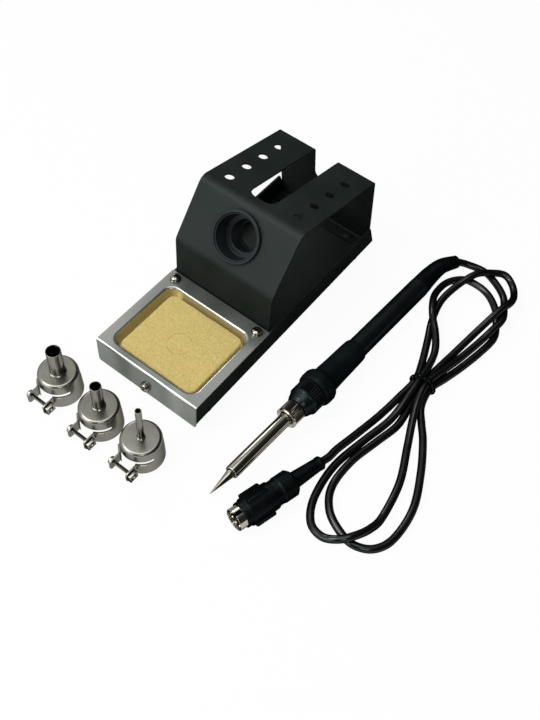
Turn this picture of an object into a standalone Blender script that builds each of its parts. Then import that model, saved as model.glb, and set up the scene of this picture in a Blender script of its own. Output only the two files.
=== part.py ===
"""Hot air rework station accessories: a soldering iron with its cord, the iron's
stand with a sponge tray, and three clamp-on hot air nozzles.

All sizes are millimetres and are turned into metres where a mesh is made.
The stand's front left corner on the table is the layout's zero: X runs along
the sponge tray, Y from the tray to the rear, Z up. In the end one empty moves the
whole layout so that the middle of its box, without the cord, is the origin.
"""

import bpy
import bmesh
from math import atan2, cos, pi, radians, sin, sqrt, tan
from mathutils import Matrix, Vector

MM = 0.001
GAP = 0.3                       # play between pieces that seat on each other

# stand
STAND_WIDTH = 70.0
SHEET = 1.2                     # black steel sheet
FOOT_HEIGHT = 3.0
FOOT_RADIUS = 5.0
FOOT_INSET = 6.3
FOOT_FRONT_Y = 14.0
FOOT_REAR_Y = 155.0
WALL_TOP = 20.4                 # top edge of the base's side walls
WALL_REAR_TOP_Y = 165.0
BASE_REAR_Y = 171.0
BASE_BEND = 2.2

# folded cover of the stand: outer side of each bend
COVER_SIDE_GAP = 0.4
COVER_FRONT_Y = 64.9
KNEE_Z = 48.3                   # upright front turns into the slope
BUSH_BARREL_RADIUS = 13.3       # the slope is long enough for the bush in it
SLOPE_RUN = BUSH_BARREL_RADIUS + 9.3    # the slope's reach on Y and its rise on Z
SLOPE_RISE = BUSH_BARREL_RADIUS + 17.8
CREST_Y = COVER_FRONT_Y + SLOPE_RUN     # slope turns into the top
CREST_Z = KNEE_Z + SLOPE_RISE
TOP_REAR_Y = 160.2
TOP_REAR_Z = 62.75
COVER_REAR_Y = 169.2
COVER_FLANGE = 9.0              # foot flanges riveted to the base's floor
KNEE_BEND = 7.0
CREST_BEND = 6.0
REAR_BEND = 3.0
SLOT_WIDTH = 16.6
SLOT_FRONT_Y = 95.0
SLOT_BOTTOM_Z = 38.0            # the slot goes on down the rear face
SLOT_CORNER = 5.5
TIP_HOLE_RADIUS = 2.75
TIP_HOLE_PITCH = 15.15
TIP_HOLE_FIRST_Y = 98.3
TIP_HOLE_SIDE = 12.0            # from the stand's side to the row of holes
TIP_HOLES_PER_ROW = 4
RIVET_RADIUS = 1.6
RIVET_HEAD_RADIUS = 3.0
RIVET_SIDE = 14.0

# plastic bush that the hot end of the iron goes through
BUSH_FLANGE_RADIUS = BUSH_BARREL_RADIUS + 1.5
BUSH_MOUTH_RADIUS = BUSH_BARREL_RADIUS - 1.0
BUSH_THROAT_RADIUS = BUSH_BARREL_RADIUS - 4.5
BUSH_END_RADIUS = BUSH_BARREL_RADIUS - 5.9
BUSH_MOUTH_DEPTH = 9.5
BUSH_DEPTH = 19.0
BUSH_FLANGE = 1.8
BUSH_RING = 2.2                 # width of the ring that holds it behind the sheet

# sponge tray
TRAY_LENGTH = COVER_FRONT_Y - 1.3       # the tray ends just before the cover
TRAY_TOP = 21.5
TRAY_SHEET = 0.8
FLANGE_LOW_Z = 2.0              # lower edge of the tray's front flange
WELL_SIDE = 5.0
WELL_FRONT_Y = 3.6
WELL_REAR_Y = TRAY_LENGTH - 8.0
WELL_DEPTH = 8.0
WELL_DRAFT = 1.0
WELL_CORNER = 6.5
SPONGE_PLAY = 0.4               # to the well's floor edge, front and right
SPONGE_GAP_LEFT = 3.3
SPONGE_GAP_REAR = 1.8
SPONGE_TOP = 19.6
SPONGE_CORNER = 4.0
SCREW_SIDE = 5.6
SCREW_REAR_Y = TRAY_LENGTH - 4.6
SCREW_FRONT_Z = 8.5
FRONT_TAB_REACH = 10.0          # the base's front tab, to each side of its screw
SCREW_SHANK_RADIUS = 1.4
SCREW_HEAD_RADIUS = 2.6
WASHER_RADIUS = 3.2
SCREW_LENGTH = 6.0

# iron: distances are measured from the point of the tip towards the cord
IRON_TIP_X = 104.2
IRON_TIP_Y = -29.5
IRON_REAR_X = 112.9
IRON_REAR_Y = 164.0
TIP_LENGTH = 15.9
TUBE_RADIUS = 3.8
NUT_FRONT = 59.8
NUT_LENGTH = 8.9
NUT_RADIUS = 6.2
NUT_RIBS = 22
KNURL_DEPTH = 0.45
TUBE_FLANGE_END = 64.0          # flange at the tube's rear end, held by the nut
TUBE_FLANGE = 1.2
COLLAR_END = 83.2
COLLAR_RADIUS = 9.05
COLLAR_RIBS = 18
COLLAR_TAIL = 12.0              # the collar goes into the handle by this much
GRIP_FRONT = 83.5
GRIP_FLANGE_RADIUS = 10.6
GRIP_FLANGE_LENGTH = 9.4
GRIP_END = 122.7
GRIP_RADIUS = 8.0
HANDLE_RADIUS = 6.15
HANDLE_BORE = 4.8
HANDLE_END = 193.9
HEATER_RADIUS = 1.9
BOARD_FRONT = 104.0             # terminal board inside the handle
BOARD_LENGTH = 46.0
BOARD_THICKNESS = 1.2

# cord
CORD_RADIUS = 2.2
CORD_POINTS = 80
RELIEF_RIBS = 8
RELIEF_STUB = 3.4               # the boots' hidden ends, inside the plug and the handle

# round plug on the cord: distances are measured from the shell's mouth
PLUG_X = 121.0
PLUG_Y = -31.2
PLUG_HEADING = 75.4             # degrees from +X, from the mouth to the cord
SHELL_RADIUS = 6.2
SHELL_WALL = 0.5
PIN_RADIUS = 0.75
PIN_CIRCLE = 4.3
PIN_COUNT = 5
PLUG_COLLAR_FRONT = 7.2
PLUG_COLLAR_END = 24.0
PLUG_COLLAR_RADIUS = 8.0
PLUG_WING_RADIUS = 8.7
PLUG_WING_WIDTH = 9.0
PLUG_WING_END = 20.9
PLUG_WING_ROLL = 18.0           # degrees below level
PLUG_COLLAR_TRAVEL = 3.0
PLUG_BODY_RADIUS = 7.1
PLUG_GRIP_RADIUS = 7.5
PLUG_GRIP_FRONT = 28.6
PLUG_BODY_END = 37.6
PLUG_RELIEF_END = 57.4

# nozzles: x, y, outer radius of the outlet tube, height of its mouth
NOZZLES = (
    ("nozzle_large", -3.3, -26.3, 4.1, 36.0),
    ("nozzle_medium", 28.2, -28.2, 3.1, 36.2),
    ("nozzle_small", 57.6, -28.3, 1.7, 43.6),
)
CUP_TOP_RADIUS = 10.9
CUP_FOOT_RADIUS = 12.1
CUP_HEIGHT = 17.6
CUP_WALL = 0.8
OUTLET_WALL = 0.5
CLAMP_SLIT_Z = 9.2
CLAMP_SLIT = 1.3
CLAMP_GAP_LEFT = 5.4
CLAMP_GAP_RIGHT = 4.8
EAR_REACH = 18.2
EAR_WALL = 1.0
EAR_LOW = 1.4
CLAMP_SCREW_Y = 15.0
CLAMP_SCREW_Z = 5.2
CLAMP_SCREW_RADIUS = 1.1
CLAMP_HEAD_RADIUS = 2.3

BLACK_STEEL = ("black_steel", (0.012, 0.013, 0.013), 0.55, 0.0)
TRAY_STEEL = ("tray_steel", (0.62, 0.62, 0.60), 0.35, 1.0)
POLISHED_STEEL = ("polished_steel", (0.66, 0.63, 0.58), 0.18, 1.0)
NOZZLE_STEEL = ("nozzle_steel", (0.55, 0.54, 0.51), 0.3, 1.0)
SCREW_STEEL = ("screw_steel", (0.50, 0.49, 0.47), 0.3, 1.0)
SPONGE_YELLOW = ("sponge_yellow", (0.80, 0.66, 0.30), 0.9, 0.0)
HANDLE_BLACK = ("handle_black", (0.018, 0.020, 0.022), 0.5, 0.0)
RUBBER_BLACK = ("rubber_black", (0.010, 0.011, 0.012), 0.6, 0.0)
CORD_BLACK = ("cord_black", (0.008, 0.008, 0.009), 0.3, 0.0)
CERAMIC_WHITE = ("ceramic_white", (0.75, 0.74, 0.70), 0.5, 0.0)
BOARD_GREEN = ("board_green", (0.05, 0.16, 0.08), 0.5, 0.0)


def clear_scene():
    for obj in list(bpy.data.objects):
        bpy.data.objects.remove(obj, do_unlink=True)


def new_collection(name):
    collection = bpy.data.collections.new(name)
    bpy.context.scene.collection.children.link(collection)
    return collection


clear_scene()
parts = new_collection("rework_station")
cutters = new_collection("cutters")
layout = bpy.data.objects.new("layout", None)
parts.objects.link(layout)


def material(finish):
    name, colour, roughness, metallic = finish
    made = bpy.data.materials.get(name)
    if made:
        return made
    made = bpy.data.materials.new(name)
    made.use_nodes = True
    shader = made.node_tree.nodes["Principled BSDF"]
    shader.inputs["Base Color"].default_value = (*colour, 1.0)
    shader.inputs["Roughness"].default_value = roughness
    shader.inputs["Metallic"].default_value = metallic
    return made


def frame(name, location, matrix=None, parent=layout):
    """An empty that carries pieces; matrix turns it, location is in mm."""
    empty = bpy.data.objects.new(name, None)
    turn = (matrix or Matrix.Identity(3)).to_4x4()
    empty.matrix_local = Matrix.Translation(Vector(location) * MM) @ turn
    empty.parent = parent
    parts.objects.link(empty)
    return empty


def add_object(name, mesh, finish=None, parent=layout):
    """A piece when it has a finish, else a hidden cutter."""
    obj = bpy.data.objects.new(name, mesh)
    obj.parent = parent
    if finish:
        mesh.materials.append(material(finish))
        parts.objects.link(obj)
    else:
        obj.hide_render = True
        obj.display_type = "WIRE"
        cutters.objects.link(obj)
    return obj


def to_mesh(bm, name):
    """Write out a bmesh that was made in millimetres."""
    bmesh.ops.scale(bm, vec=(MM, MM, MM), verts=bm.verts)
    mesh = bpy.data.meshes.new(name)
    bm.to_mesh(mesh)
    bm.free()
    return mesh


def box(name, low, high, finish=None, parent=layout):
    bm = bmesh.new()
    size = Vector(high) - Vector(low)
    middle = (Vector(high) + Vector(low)) / 2
    bmesh.ops.create_cube(bm, size=1.0, matrix=Matrix.Translation(middle) @ Matrix.Diagonal((*size, 1.0)))
    return add_object(name, to_mesh(bm, name), finish, parent)


def cylinder(name, radius, low, high, centre=(0, 0, 0), axis="Z", segments=24, finish=None, parent=layout):
    """A cylinder from low to high along the axis, through centre."""
    bm = bmesh.new()
    bmesh.ops.create_cone(bm, cap_ends=True, segments=segments, radius1=radius, radius2=radius, depth=high - low)
    bmesh.ops.translate(bm, vec=(0, 0, (low + high) / 2), verts=bm.verts)
    turns = {"X": Matrix.Rotation(pi / 2, 4, "Y"), "Y": Matrix.Rotation(-pi / 2, 4, "X"), "Z": Matrix.Identity(4)}
    bmesh.ops.transform(bm, matrix=Matrix.Translation(centre) @ turns[axis], verts=bm.verts)
    return add_object(name, to_mesh(bm, name), finish, parent)


def turned(name, profile, segments=32, finish=None, parent=layout):
    """Spin a closed (radius, height) outline that runs down its outer side."""
    bm = bmesh.new()
    verts = [bm.verts.new((radius, 0.0, height)) for radius, height in profile]
    for index, vert in enumerate(verts):
        following = verts[(index + 1) % len(verts)]
        if vert.co.x > 0 or following.co.x > 0:
            bm.edges.new((vert, following))
    obj = add_object(name, to_mesh(bm, name), finish, parent)
    spin = obj.modifiers.new("spin", "SCREW")
    spin.axis = "Z"
    spin.steps = spin.render_steps = segments
    spin.use_merge_vertices = True
    spin.merge_threshold = 0.00001
    spin.use_smooth_shade = True
    return obj


def cut(obj, cutter, operation="DIFFERENCE"):
    step = obj.modifiers.new(operation.lower(), "BOOLEAN")
    step.operation = operation
    step.object = cutter
    step.solver = "EXACT"
    return obj


def rounded_path(corners, radii, steps=4):
    """Points of a bent line: each inner corner becomes an arc of its radius."""
    points = [Vector(corners[0])]
    for before, corner, after, radius in zip(corners, corners[1:], corners[2:], radii):
        corner = Vector(corner)
        back = (Vector(before) - corner).normalized()
        ahead = (Vector(after) - corner).normalized()
        half = back.angle(ahead) / 2
        reach = radius / sin(half) * cos(half)
        middle = corner + (back + ahead).normalized() * (radius / sin(half))
        start = corner + back * reach - middle
        end = corner + ahead * reach - middle
        sweep = start.angle(end)
        for index in range(steps + 1):
            share = index / steps
            spoke = (start * sin((1 - share) * sweep) + end * sin(share * sweep)) / sin(sweep)
            points.append(middle + spoke)
    points.append(Vector(corners[-1]))
    return points


def rounded_rectangle(low, high, radius, steps=5):
    """Corner points of a flat rounded rectangle, turning left from its low corner."""
    centres = (
        (high[0] - radius, low[1] + radius, -90),
        (high[0] - radius, high[1] - radius, 0),
        (low[0] + radius, high[1] - radius, 90),
        (low[0] + radius, low[1] + radius, 180),
    )
    points = []
    for x, y, start in centres:
        for index in range(steps + 1):
            angle = radians(start + 90 * index / steps)
            points.append((x + radius * cos(angle), y + radius * sin(angle)))
    return points


def prism(name, outline, low, high, axis="Z", finish=None, parent=layout):
    """A flat outline drawn out from low to high along Z, or along Y with X and Z given."""
    bm = bmesh.new()
    face = bm.faces.new([bm.verts.new((x, y, low)) for x, y in outline])
    lifted = bmesh.ops.extrude_face_region(bm, geom=[face])["geom"]
    bmesh.ops.translate(bm, vec=(0, 0, high - low), verts=[v for v in lifted if isinstance(v, bmesh.types.BMVert)])
    bmesh.ops.recalc_face_normals(bm, faces=bm.faces)
    if axis == "Y":
        bmesh.ops.rotate(bm, matrix=Matrix.Rotation(pi / 2, 3, "X"), verts=bm.verts)
    return add_object(name, to_mesh(bm, name), finish, parent)


def folded_sheet(name, path, low_x, high_x, thickness, finish):
    """A sheet folded along a (y, z) path; its thickness is added on the path's right side."""
    bm = bmesh.new()
    left = [bm.verts.new((low_x, point[0], point[1])) for point in path]
    right = [bm.verts.new((high_x, point[0], point[1])) for point in path]
    for index in range(len(path) - 1):
        bm.faces.new((left[index], right[index], right[index + 1], left[index + 1]))
    obj = add_object(name, to_mesh(bm, name), finish)
    skin = obj.modifiers.new("sheet", "SOLIDIFY")
    skin.thickness = thickness * MM
    skin.offset = -1.0
    skin.use_even_offset = True
    return obj


# Stand

def cover_corners():
    floor = FOOT_HEIGHT + SHEET + GAP
    return [
        (COVER_FRONT_Y - COVER_FLANGE, floor + SHEET),
        (COVER_FRONT_Y, floor + SHEET),
        (COVER_FRONT_Y, KNEE_Z),
        (CREST_Y, CREST_Z),
        (TOP_REAR_Y, TOP_REAR_Z),
        (COVER_REAR_Y, floor),
        (COVER_REAR_Y - COVER_FLANGE, floor),
    ]


def top_height(y):
    """Outer height of the cover's sloping top."""
    share = (y - CREST_Y) / (TOP_REAR_Y - CREST_Y)
    return CREST_Z + (TOP_REAR_Z - CREST_Z) * share


def rivet_places():
    ys = (COVER_FRONT_Y - COVER_FLANGE / 2 - 1.0, COVER_REAR_Y - COVER_FLANGE / 2 - 1.0)
    xs = (RIVET_SIDE, STAND_WIDTH - RIVET_SIDE)
    return [(x, y) for y in ys for x in xs]


def make_base():
    path = rounded_path(
        [(0.0, WALL_TOP), (0.0, FOOT_HEIGHT), (STAND_WIDTH, FOOT_HEIGHT), (STAND_WIDTH, WALL_TOP)],
        [BASE_BEND, BASE_BEND], steps=4,
    )
    front = TRAY_SHEET + GAP
    bm = bmesh.new()
    near = [bm.verts.new((point[0], front, point[1])) for point in path]
    far = [bm.verts.new((point[0], BASE_REAR_Y, point[1])) for point in path]
    for index in range(len(path) - 1):
        bm.faces.new((near[index], far[index], far[index + 1], near[index + 1]))
    base = add_object("base_channel", to_mesh(bm, "base_channel"), BLACK_STEEL)
    skin = base.modifiers.new("sheet", "SOLIDIFY")
    skin.thickness = SHEET * MM
    skin.offset = -1.0
    skin.use_even_offset = True

    # the side walls' rear ends lean forward
    rear = prism(
        "base_rear_cutter",
        [(WALL_REAR_TOP_Y, WALL_TOP + 5), (WALL_REAR_TOP_Y, WALL_TOP), (BASE_REAR_Y, FOOT_HEIGHT + BASE_BEND),
         (BASE_REAR_Y + 5, FOOT_HEIGHT + BASE_BEND), (BASE_REAR_Y + 5, WALL_TOP + 5)],
        -5, STAND_WIDTH + 5,
    )
    rear.data.transform(Matrix(((0, 0, 1, 0), (1, 0, 0, 0), (0, 1, 0, 0), (0, 0, 0, 1))))
    cut(base, rear)

    # tabs that the tray's screws hold: one at the front, two below its rear corners
    tab = box(
        "front_tab", (STAND_WIDTH / 2 - FRONT_TAB_REACH, front, FOOT_HEIGHT + SHEET / 2),
        (STAND_WIDTH / 2 + FRONT_TAB_REACH, front + SHEET, SCREW_FRONT_Z + 5),
    )
    cut(base, tab, "UNION")
    tab_top = WALL_TOP - 0.2
    for side, low, high in (
        ("left", SHEET / 2, SCREW_SIDE + 4),
        ("right", STAND_WIDTH - SCREW_SIDE - 4, STAND_WIDTH - SHEET / 2),
    ):
        shelf = box(
            "rear_tab_" + side, (low, SCREW_REAR_Y - 3, tab_top - SHEET), (high, SCREW_REAR_Y + 4, tab_top),
        )
        cut(base, shelf, "UNION")

    hole = SCREW_SHANK_RADIUS + GAP
    for index, x in enumerate((SCREW_SIDE, STAND_WIDTH - SCREW_SIDE)):
        cut(base, cylinder("tab_hole_%d" % index, hole, WALL_TOP - 6, WALL_TOP + 6, (x, SCREW_REAR_Y, 0), segments=16))
    cut(base, cylinder("front_hole", hole, -5, 8, (STAND_WIDTH / 2, 0, SCREW_FRONT_Z), axis="Y", segments=16))
    for index, (x, y) in enumerate(rivet_places()):
        cut(base, cylinder("base_rivet_hole_%d" % index, RIVET_RADIUS + GAP, 0, 10, (x, y, 0), segments=12))


def bush_frame():
    """Axes of the bush: Z out of the sloping face, at the face's middle."""
    slope = Vector((0.0, CREST_Y - COVER_FRONT_Y, CREST_Z - KNEE_Z)).normalized()
    outward = Vector((0.0, -slope.z, slope.y))
    turn = Matrix((Vector((1, 0, 0)), slope, outward)).transposed()
    middle = (STAND_WIDTH / 2, (COVER_FRONT_Y + CREST_Y) / 2, (KNEE_Z + CREST_Z) / 2)
    return frame("bush_axis", middle, turn)


def make_cover(bush_axis):
    corners = cover_corners()
    path = rounded_path(corners, [BASE_BEND, KNEE_BEND, CREST_BEND, REAR_BEND, BASE_BEND])
    side = SHEET + COVER_SIDE_GAP
    cover = folded_sheet("upper_cover", path, side, STAND_WIDTH - side, SHEET, BLACK_STEEL)

    # slot through the top: open at the rear, where it goes on down the rear face
    middle = STAND_WIDTH / 2
    low, high = middle - SLOT_WIDTH / 2, middle + SLOT_WIDTH / 2
    plan = rounded_rectangle((low, SLOT_FRONT_Y), (high, COVER_REAR_Y - 3), SLOT_CORNER)
    cut(cover, prism("slot_top_cutter", plan, TOP_REAR_Z - 10, CREST_Z + 5))
    face = rounded_rectangle((low, SLOT_BOTTOM_Z), (high, CREST_Z), SLOT_CORNER)
    cut(cover, prism("slot_rear_cutter", face, -COVER_REAR_Y - 10, -TOP_REAR_Y + 8, axis="Y"))

    for column, x in enumerate((TIP_HOLE_SIDE, STAND_WIDTH - TIP_HOLE_SIDE)):
        for row in range(TIP_HOLES_PER_ROW):
            y = TIP_HOLE_FIRST_Y + row * TIP_HOLE_PITCH
            hole = cylinder(
                "tip_hole_%d_%d" % (column, row), TIP_HOLE_RADIUS, top_height(y) - 6, top_height(y) + 6,
                (x, y, 0), segments=16,
            )
            cut(cover, hole)
    cut(cover, cylinder("bush_hole", BUSH_BARREL_RADIUS + GAP, -6, 6, segments=28, parent=bush_axis))
    for index, (x, y) in enumerate(rivet_places()):
        cut(cover, cylinder("cover_rivet_hole_%d" % index, RIVET_RADIUS + GAP, 0, 10, (x, y, 0), segments=12))


def make_rivets():
    floor = FOOT_HEIGHT + SHEET + GAP
    head = floor + SHEET + GAP
    for index, (x, y) in enumerate(rivet_places(), start=1):
        spot = frame("rivet_place_%d" % index, (x, y, 0))
        profile = [
            (0, head + 1.4), (RIVET_HEAD_RADIUS * 0.7, head + 1.1), (RIVET_HEAD_RADIUS, head), (RIVET_RADIUS, head), (RIVET_RADIUS, FOOT_HEIGHT), (0, FOOT_HEIGHT),
        ]
        turned("cover_rivet_%d" % index, profile, 12, SCREW_STEEL, spot)


def make_feet():
    index = 0
    for y in (FOOT_FRONT_Y, FOOT_REAR_Y):
        for x in (FOOT_INSET, STAND_WIDTH - FOOT_INSET):
            index += 1
            spot = frame("foot_place_%d" % index, (x, y, 0))
            top = FOOT_HEIGHT - GAP
            profile = [
                (0, top), (FOOT_RADIUS, top), (FOOT_RADIUS, 1.0), (FOOT_RADIUS - 0.8, 0.0), (0, 0.0),
            ]
            turned("rubber_foot_%d" % index, profile, 16, RUBBER_BLACK, spot)


def make_bush(bush_axis):
    top = GAP + BUSH_FLANGE
    inner_lip = -BUSH_DEPTH + 1.6
    profile = [
        (BUSH_MOUTH_RADIUS + 1.2, top), (BUSH_FLANGE_RADIUS - 0.4, top), (BUSH_FLANGE_RADIUS, top - 0.5),
        (BUSH_FLANGE_RADIUS, GAP), (BUSH_BARREL_RADIUS, GAP), (BUSH_BARREL_RADIUS, -BUSH_MOUTH_DEPTH - 1.6),
        (BUSH_THROAT_RADIUS + 1.6, -BUSH_MOUTH_DEPTH - 2.6), (BUSH_THROAT_RADIUS + 1.2, -BUSH_DEPTH),
        (BUSH_END_RADIUS, -BUSH_DEPTH), (BUSH_END_RADIUS, inner_lip),
        (BUSH_THROAT_RADIUS - 0.4, inner_lip), (BUSH_THROAT_RADIUS, -BUSH_MOUTH_DEPTH),
        (BUSH_THROAT_RADIUS + 0.6, -BUSH_MOUTH_DEPTH + 0.4), (BUSH_MOUTH_RADIUS - 0.4, -BUSH_MOUTH_DEPTH + 0.4),
        (BUSH_MOUTH_RADIUS, top - 1.0),
    ]
    turned("iron_rest_bush", profile, 28, HANDLE_BLACK, bush_axis)

    ring_top = -SHEET - GAP
    inner = BUSH_BARREL_RADIUS + GAP
    slope = Vector((SLOPE_RUN, SLOPE_RISE))
    bend = KNEE_BEND * tan(slope.angle(Vector((0, 1))) / 2)
    outer = inner + min(BUSH_RING, slope.length / 2 - bend - GAP - inner)
    ring = [
        (inner, ring_top), (outer, ring_top), (outer, ring_top - 3.0), (outer - 0.8, ring_top - 3.8),
        (inner, ring_top - 3.8),
    ]
    turned("bush_retaining_ring", ring, 28, HANDLE_BLACK, bush_axis)


# Sponge tray

def ring_of(bm, points, height):
    return [bm.verts.new((x, y, height)) for x, y in points]


def bridge(bm, outer, inner):
    count = len(outer)
    for index in range(count):
        following = (index + 1) % count
        bm.faces.new((outer[index], outer[following], inner[following], inner[index]))


def make_tray():
    steps = 5
    rim = rounded_rectangle((WELL_SIDE, WELL_FRONT_Y), (STAND_WIDTH - WELL_SIDE, WELL_REAR_Y), WELL_CORNER, steps)
    shoulder = rounded_rectangle(
        (WELL_SIDE + 0.9, WELL_FRONT_Y + 0.9), (STAND_WIDTH - WELL_SIDE - 0.9, WELL_REAR_Y - 0.9),
        WELL_CORNER - 0.9, steps,
    )
    draft = 0.9 + WELL_DRAFT
    floor = rounded_rectangle(
        (WELL_SIDE + draft, WELL_FRONT_Y + draft), (STAND_WIDTH - WELL_SIDE - draft, WELL_REAR_Y - draft),
        WELL_CORNER - draft, steps,
    )
    edge = rounded_rectangle((0.0, 0.9), (STAND_WIDTH, TRAY_LENGTH), 0.6, steps)

    bm = bmesh.new()
    rings = [
        ring_of(bm, edge, TRAY_TOP), ring_of(bm, rim, TRAY_TOP),
        ring_of(bm, shoulder, TRAY_TOP - 0.9), ring_of(bm, floor, TRAY_TOP - WELL_DEPTH),
    ]
    for outer, inner in zip(rings, rings[1:]):
        bridge(bm, outer, inner)
    bm.faces.new(rings[-1])

    # front flange: the front edge goes round a bend and down
    bm.edges.ensure_lookup_table()
    front = [e for e in bm.edges if e.is_boundary and all(v.co.y < 0.95 for v in e.verts)]
    for back, down in ((0.6, 0.3), (0.3, 0.6), (0.0, TRAY_TOP - FLANGE_LOW_Z - 0.9)):
        made = bmesh.ops.extrude_edge_only(bm, edges=front)["geom"]
        verts = [v for v in made if isinstance(v, bmesh.types.BMVert)]
        bmesh.ops.translate(bm, vec=(0, -back, -down), verts=verts)
        front = [e for e in made if isinstance(e, bmesh.types.BMEdge) and e.is_boundary
                 and all(v in verts for v in e.verts)]
    bmesh.ops.recalc_face_normals(bm, faces=bm.faces)
    if sum(face.normal.z * face.calc_area() for face in bm.faces) < 0:
        bmesh.ops.reverse_faces(bm, faces=bm.faces)
    tray = add_object("sponge_tray", to_mesh(bm, "sponge_tray"), TRAY_STEEL)
    skin = tray.modifiers.new("sheet", "SOLIDIFY")
    skin.thickness = TRAY_SHEET * MM
    skin.offset = -1.0
    skin.use_even_offset = True

    hole = SCREW_SHANK_RADIUS + GAP
    for index, x in enumerate((SCREW_SIDE, STAND_WIDTH - SCREW_SIDE)):
        spot = (x, SCREW_REAR_Y, 0)
        cut(tray, cylinder("tray_hole_%d" % index, hole, TRAY_TOP - 4, TRAY_TOP + 4, spot, segments=16))
    cut(tray, cylinder("tray_front_hole", hole, -4, 4, (STAND_WIDTH / 2, 0, SCREW_FRONT_Z), axis="Y", segments=16))


def make_tray_screws():
    """Cross-head pan screws with a washer under the head."""
    upright = Matrix.Identity(3)
    forward = Matrix.Rotation(pi / 2, 3, "X")
    places = (
        ("rear_left", (SCREW_SIDE, SCREW_REAR_Y, TRAY_TOP), upright),
        ("rear_right", (STAND_WIDTH - SCREW_SIDE, SCREW_REAR_Y, TRAY_TOP), upright),
        ("front", (STAND_WIDTH / 2, 0.0, SCREW_FRONT_Z), forward),
    )
    washer = GAP + 0.5
    profile = [
        (0, washer + 1.9), (SCREW_HEAD_RADIUS * 0.7, washer + 1.6), (SCREW_HEAD_RADIUS, washer + 0.6),
        (SCREW_HEAD_RADIUS, washer), (WASHER_RADIUS, washer),
        (WASHER_RADIUS, GAP), (SCREW_SHANK_RADIUS, GAP), (SCREW_SHANK_RADIUS, -SCREW_LENGTH), (0, -SCREW_LENGTH),
    ]
    for name, place, turn in places:
        spot = frame("screw_place_" + name, place, turn)
        screw = turned("tray_screw_" + name, profile, 14, SCREW_STEEL, spot)
        wide, narrow, low = 1.5, 0.35, washer + 0.9
        cut(screw, box("recess_a_" + name, (-wide, -narrow, low), (wide, narrow, low + 3), parent=spot))
        cut(screw, box("recess_b_" + name, (-narrow, -wide, low), (narrow, wide, low + 3), parent=spot))


def make_sponge():
    """The sponge lies loose on the well's floor, pushed into its front right corner."""
    inset = 0.9 + WELL_DRAFT
    low = (WELL_SIDE + inset + SPONGE_GAP_LEFT, WELL_FRONT_Y + inset + SPONGE_PLAY)
    high = (STAND_WIDTH - WELL_SIDE - inset - SPONGE_PLAY, WELL_REAR_Y - inset - SPONGE_GAP_REAR)
    outline = rounded_rectangle(low, high, SPONGE_CORNER)
    sponge = prism("sponge", outline, TRAY_TOP - WELL_DEPTH + GAP, SPONGE_TOP, finish=SPONGE_YELLOW)
    edge = sponge.modifiers.new("edge", "BEVEL")
    edge.width = 0.8 * MM
    edge.segments = 2
    edge.limit_method = "ANGLE"
    edge.angle_limit = radians(60)


# Iron

def level_turn(ahead):
    """Axes with Z ahead and X kept level."""
    level = ahead.cross(Vector((0, 0, 1))).normalized()
    return Matrix((level, ahead.cross(level), ahead)).transposed()


def iron_line():
    """The point of the iron's tip and the direction to its cord: the grip's flange and the handle's end rest on the table."""
    flange_rear = GRIP_FRONT + GRIP_FLANGE_LENGTH - 3.4
    drop = (GRIP_FLANGE_RADIUS - HANDLE_RADIUS) / (HANDLE_END - flange_rear)
    level = sqrt(1 - drop ** 2)
    plan = Vector((IRON_REAR_X - IRON_TIP_X, IRON_REAR_Y - IRON_TIP_Y)).normalized() * level
    tip_height = GRIP_FLANGE_RADIUS * level + flange_rear * drop
    return Vector((IRON_TIP_X, IRON_TIP_Y, tip_height)), Vector((plan.x, plan.y, -drop))


def turned_back(name, profile, segments, finish, parent):
    """A turned piece whose outline is listed from the tip backwards along its outer side."""
    return turned(name, list(reversed(profile)), segments, finish, parent)


def ribbed(name, rings, ribs, finish, parent):
    """A closed sleeve with ribs: rings of (height, rib radius, groove radius), outer side and then bore."""
    bm = bmesh.new()
    loops = []
    for height, rib, groove in rings:
        loop = []
        for index in range(ribs * 2):
            angle = pi * index / ribs
            radius = groove if index % 2 else rib
            loop.append(bm.verts.new((radius * cos(angle), radius * sin(angle), height)))
        loops.append(loop)
    for loop, following in zip(loops, loops[1:] + loops[:1]):
        bridge(bm, loop, following)
    bmesh.ops.recalc_face_normals(bm, faces=bm.faces)
    sleeve = add_object(name, to_mesh(bm, name), finish, parent)
    sleeve.data.shade_smooth()
    sleeve.data.set_sharp_from_angle(angle=radians(25))
    return sleeve


def make_tip(axis):
    shank, bore = TUBE_RADIUS - 0.8, HEATER_RADIUS + GAP
    back, bottom = 44.0, 24.0
    profile = [
        (0, 0.0), (0.25, 0.3), (1.1, 6.0), (2.5, TIP_LENGTH - 0.9), (2.5, TIP_LENGTH + 0.9),
        (shank, TIP_LENGTH + 1.1), (shank, back), (bore, back), (bore, bottom), (0, bottom),
    ]
    turned_back("iron_tip", profile, 20, POLISHED_STEEL, axis)


def make_tip_tube(axis):
    inner = TUBE_RADIUS - 0.45
    end = TUBE_FLANGE_END
    profile = [
        (2.5 + GAP, TIP_LENGTH), (TUBE_RADIUS - 0.3, TIP_LENGTH), (TUBE_RADIUS, TIP_LENGTH + 0.4),
        (TUBE_RADIUS, end - TUBE_FLANGE), (TUBE_RADIUS + 1.0, end - TUBE_FLANGE), (TUBE_RADIUS + 1.0, end), (inner, end),
        (inner, TIP_LENGTH + 0.8), (2.5 + GAP, TIP_LENGTH + 0.8),
    ]
    turned_back("tip_tube", profile, 28, POLISHED_STEEL, axis)


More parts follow.
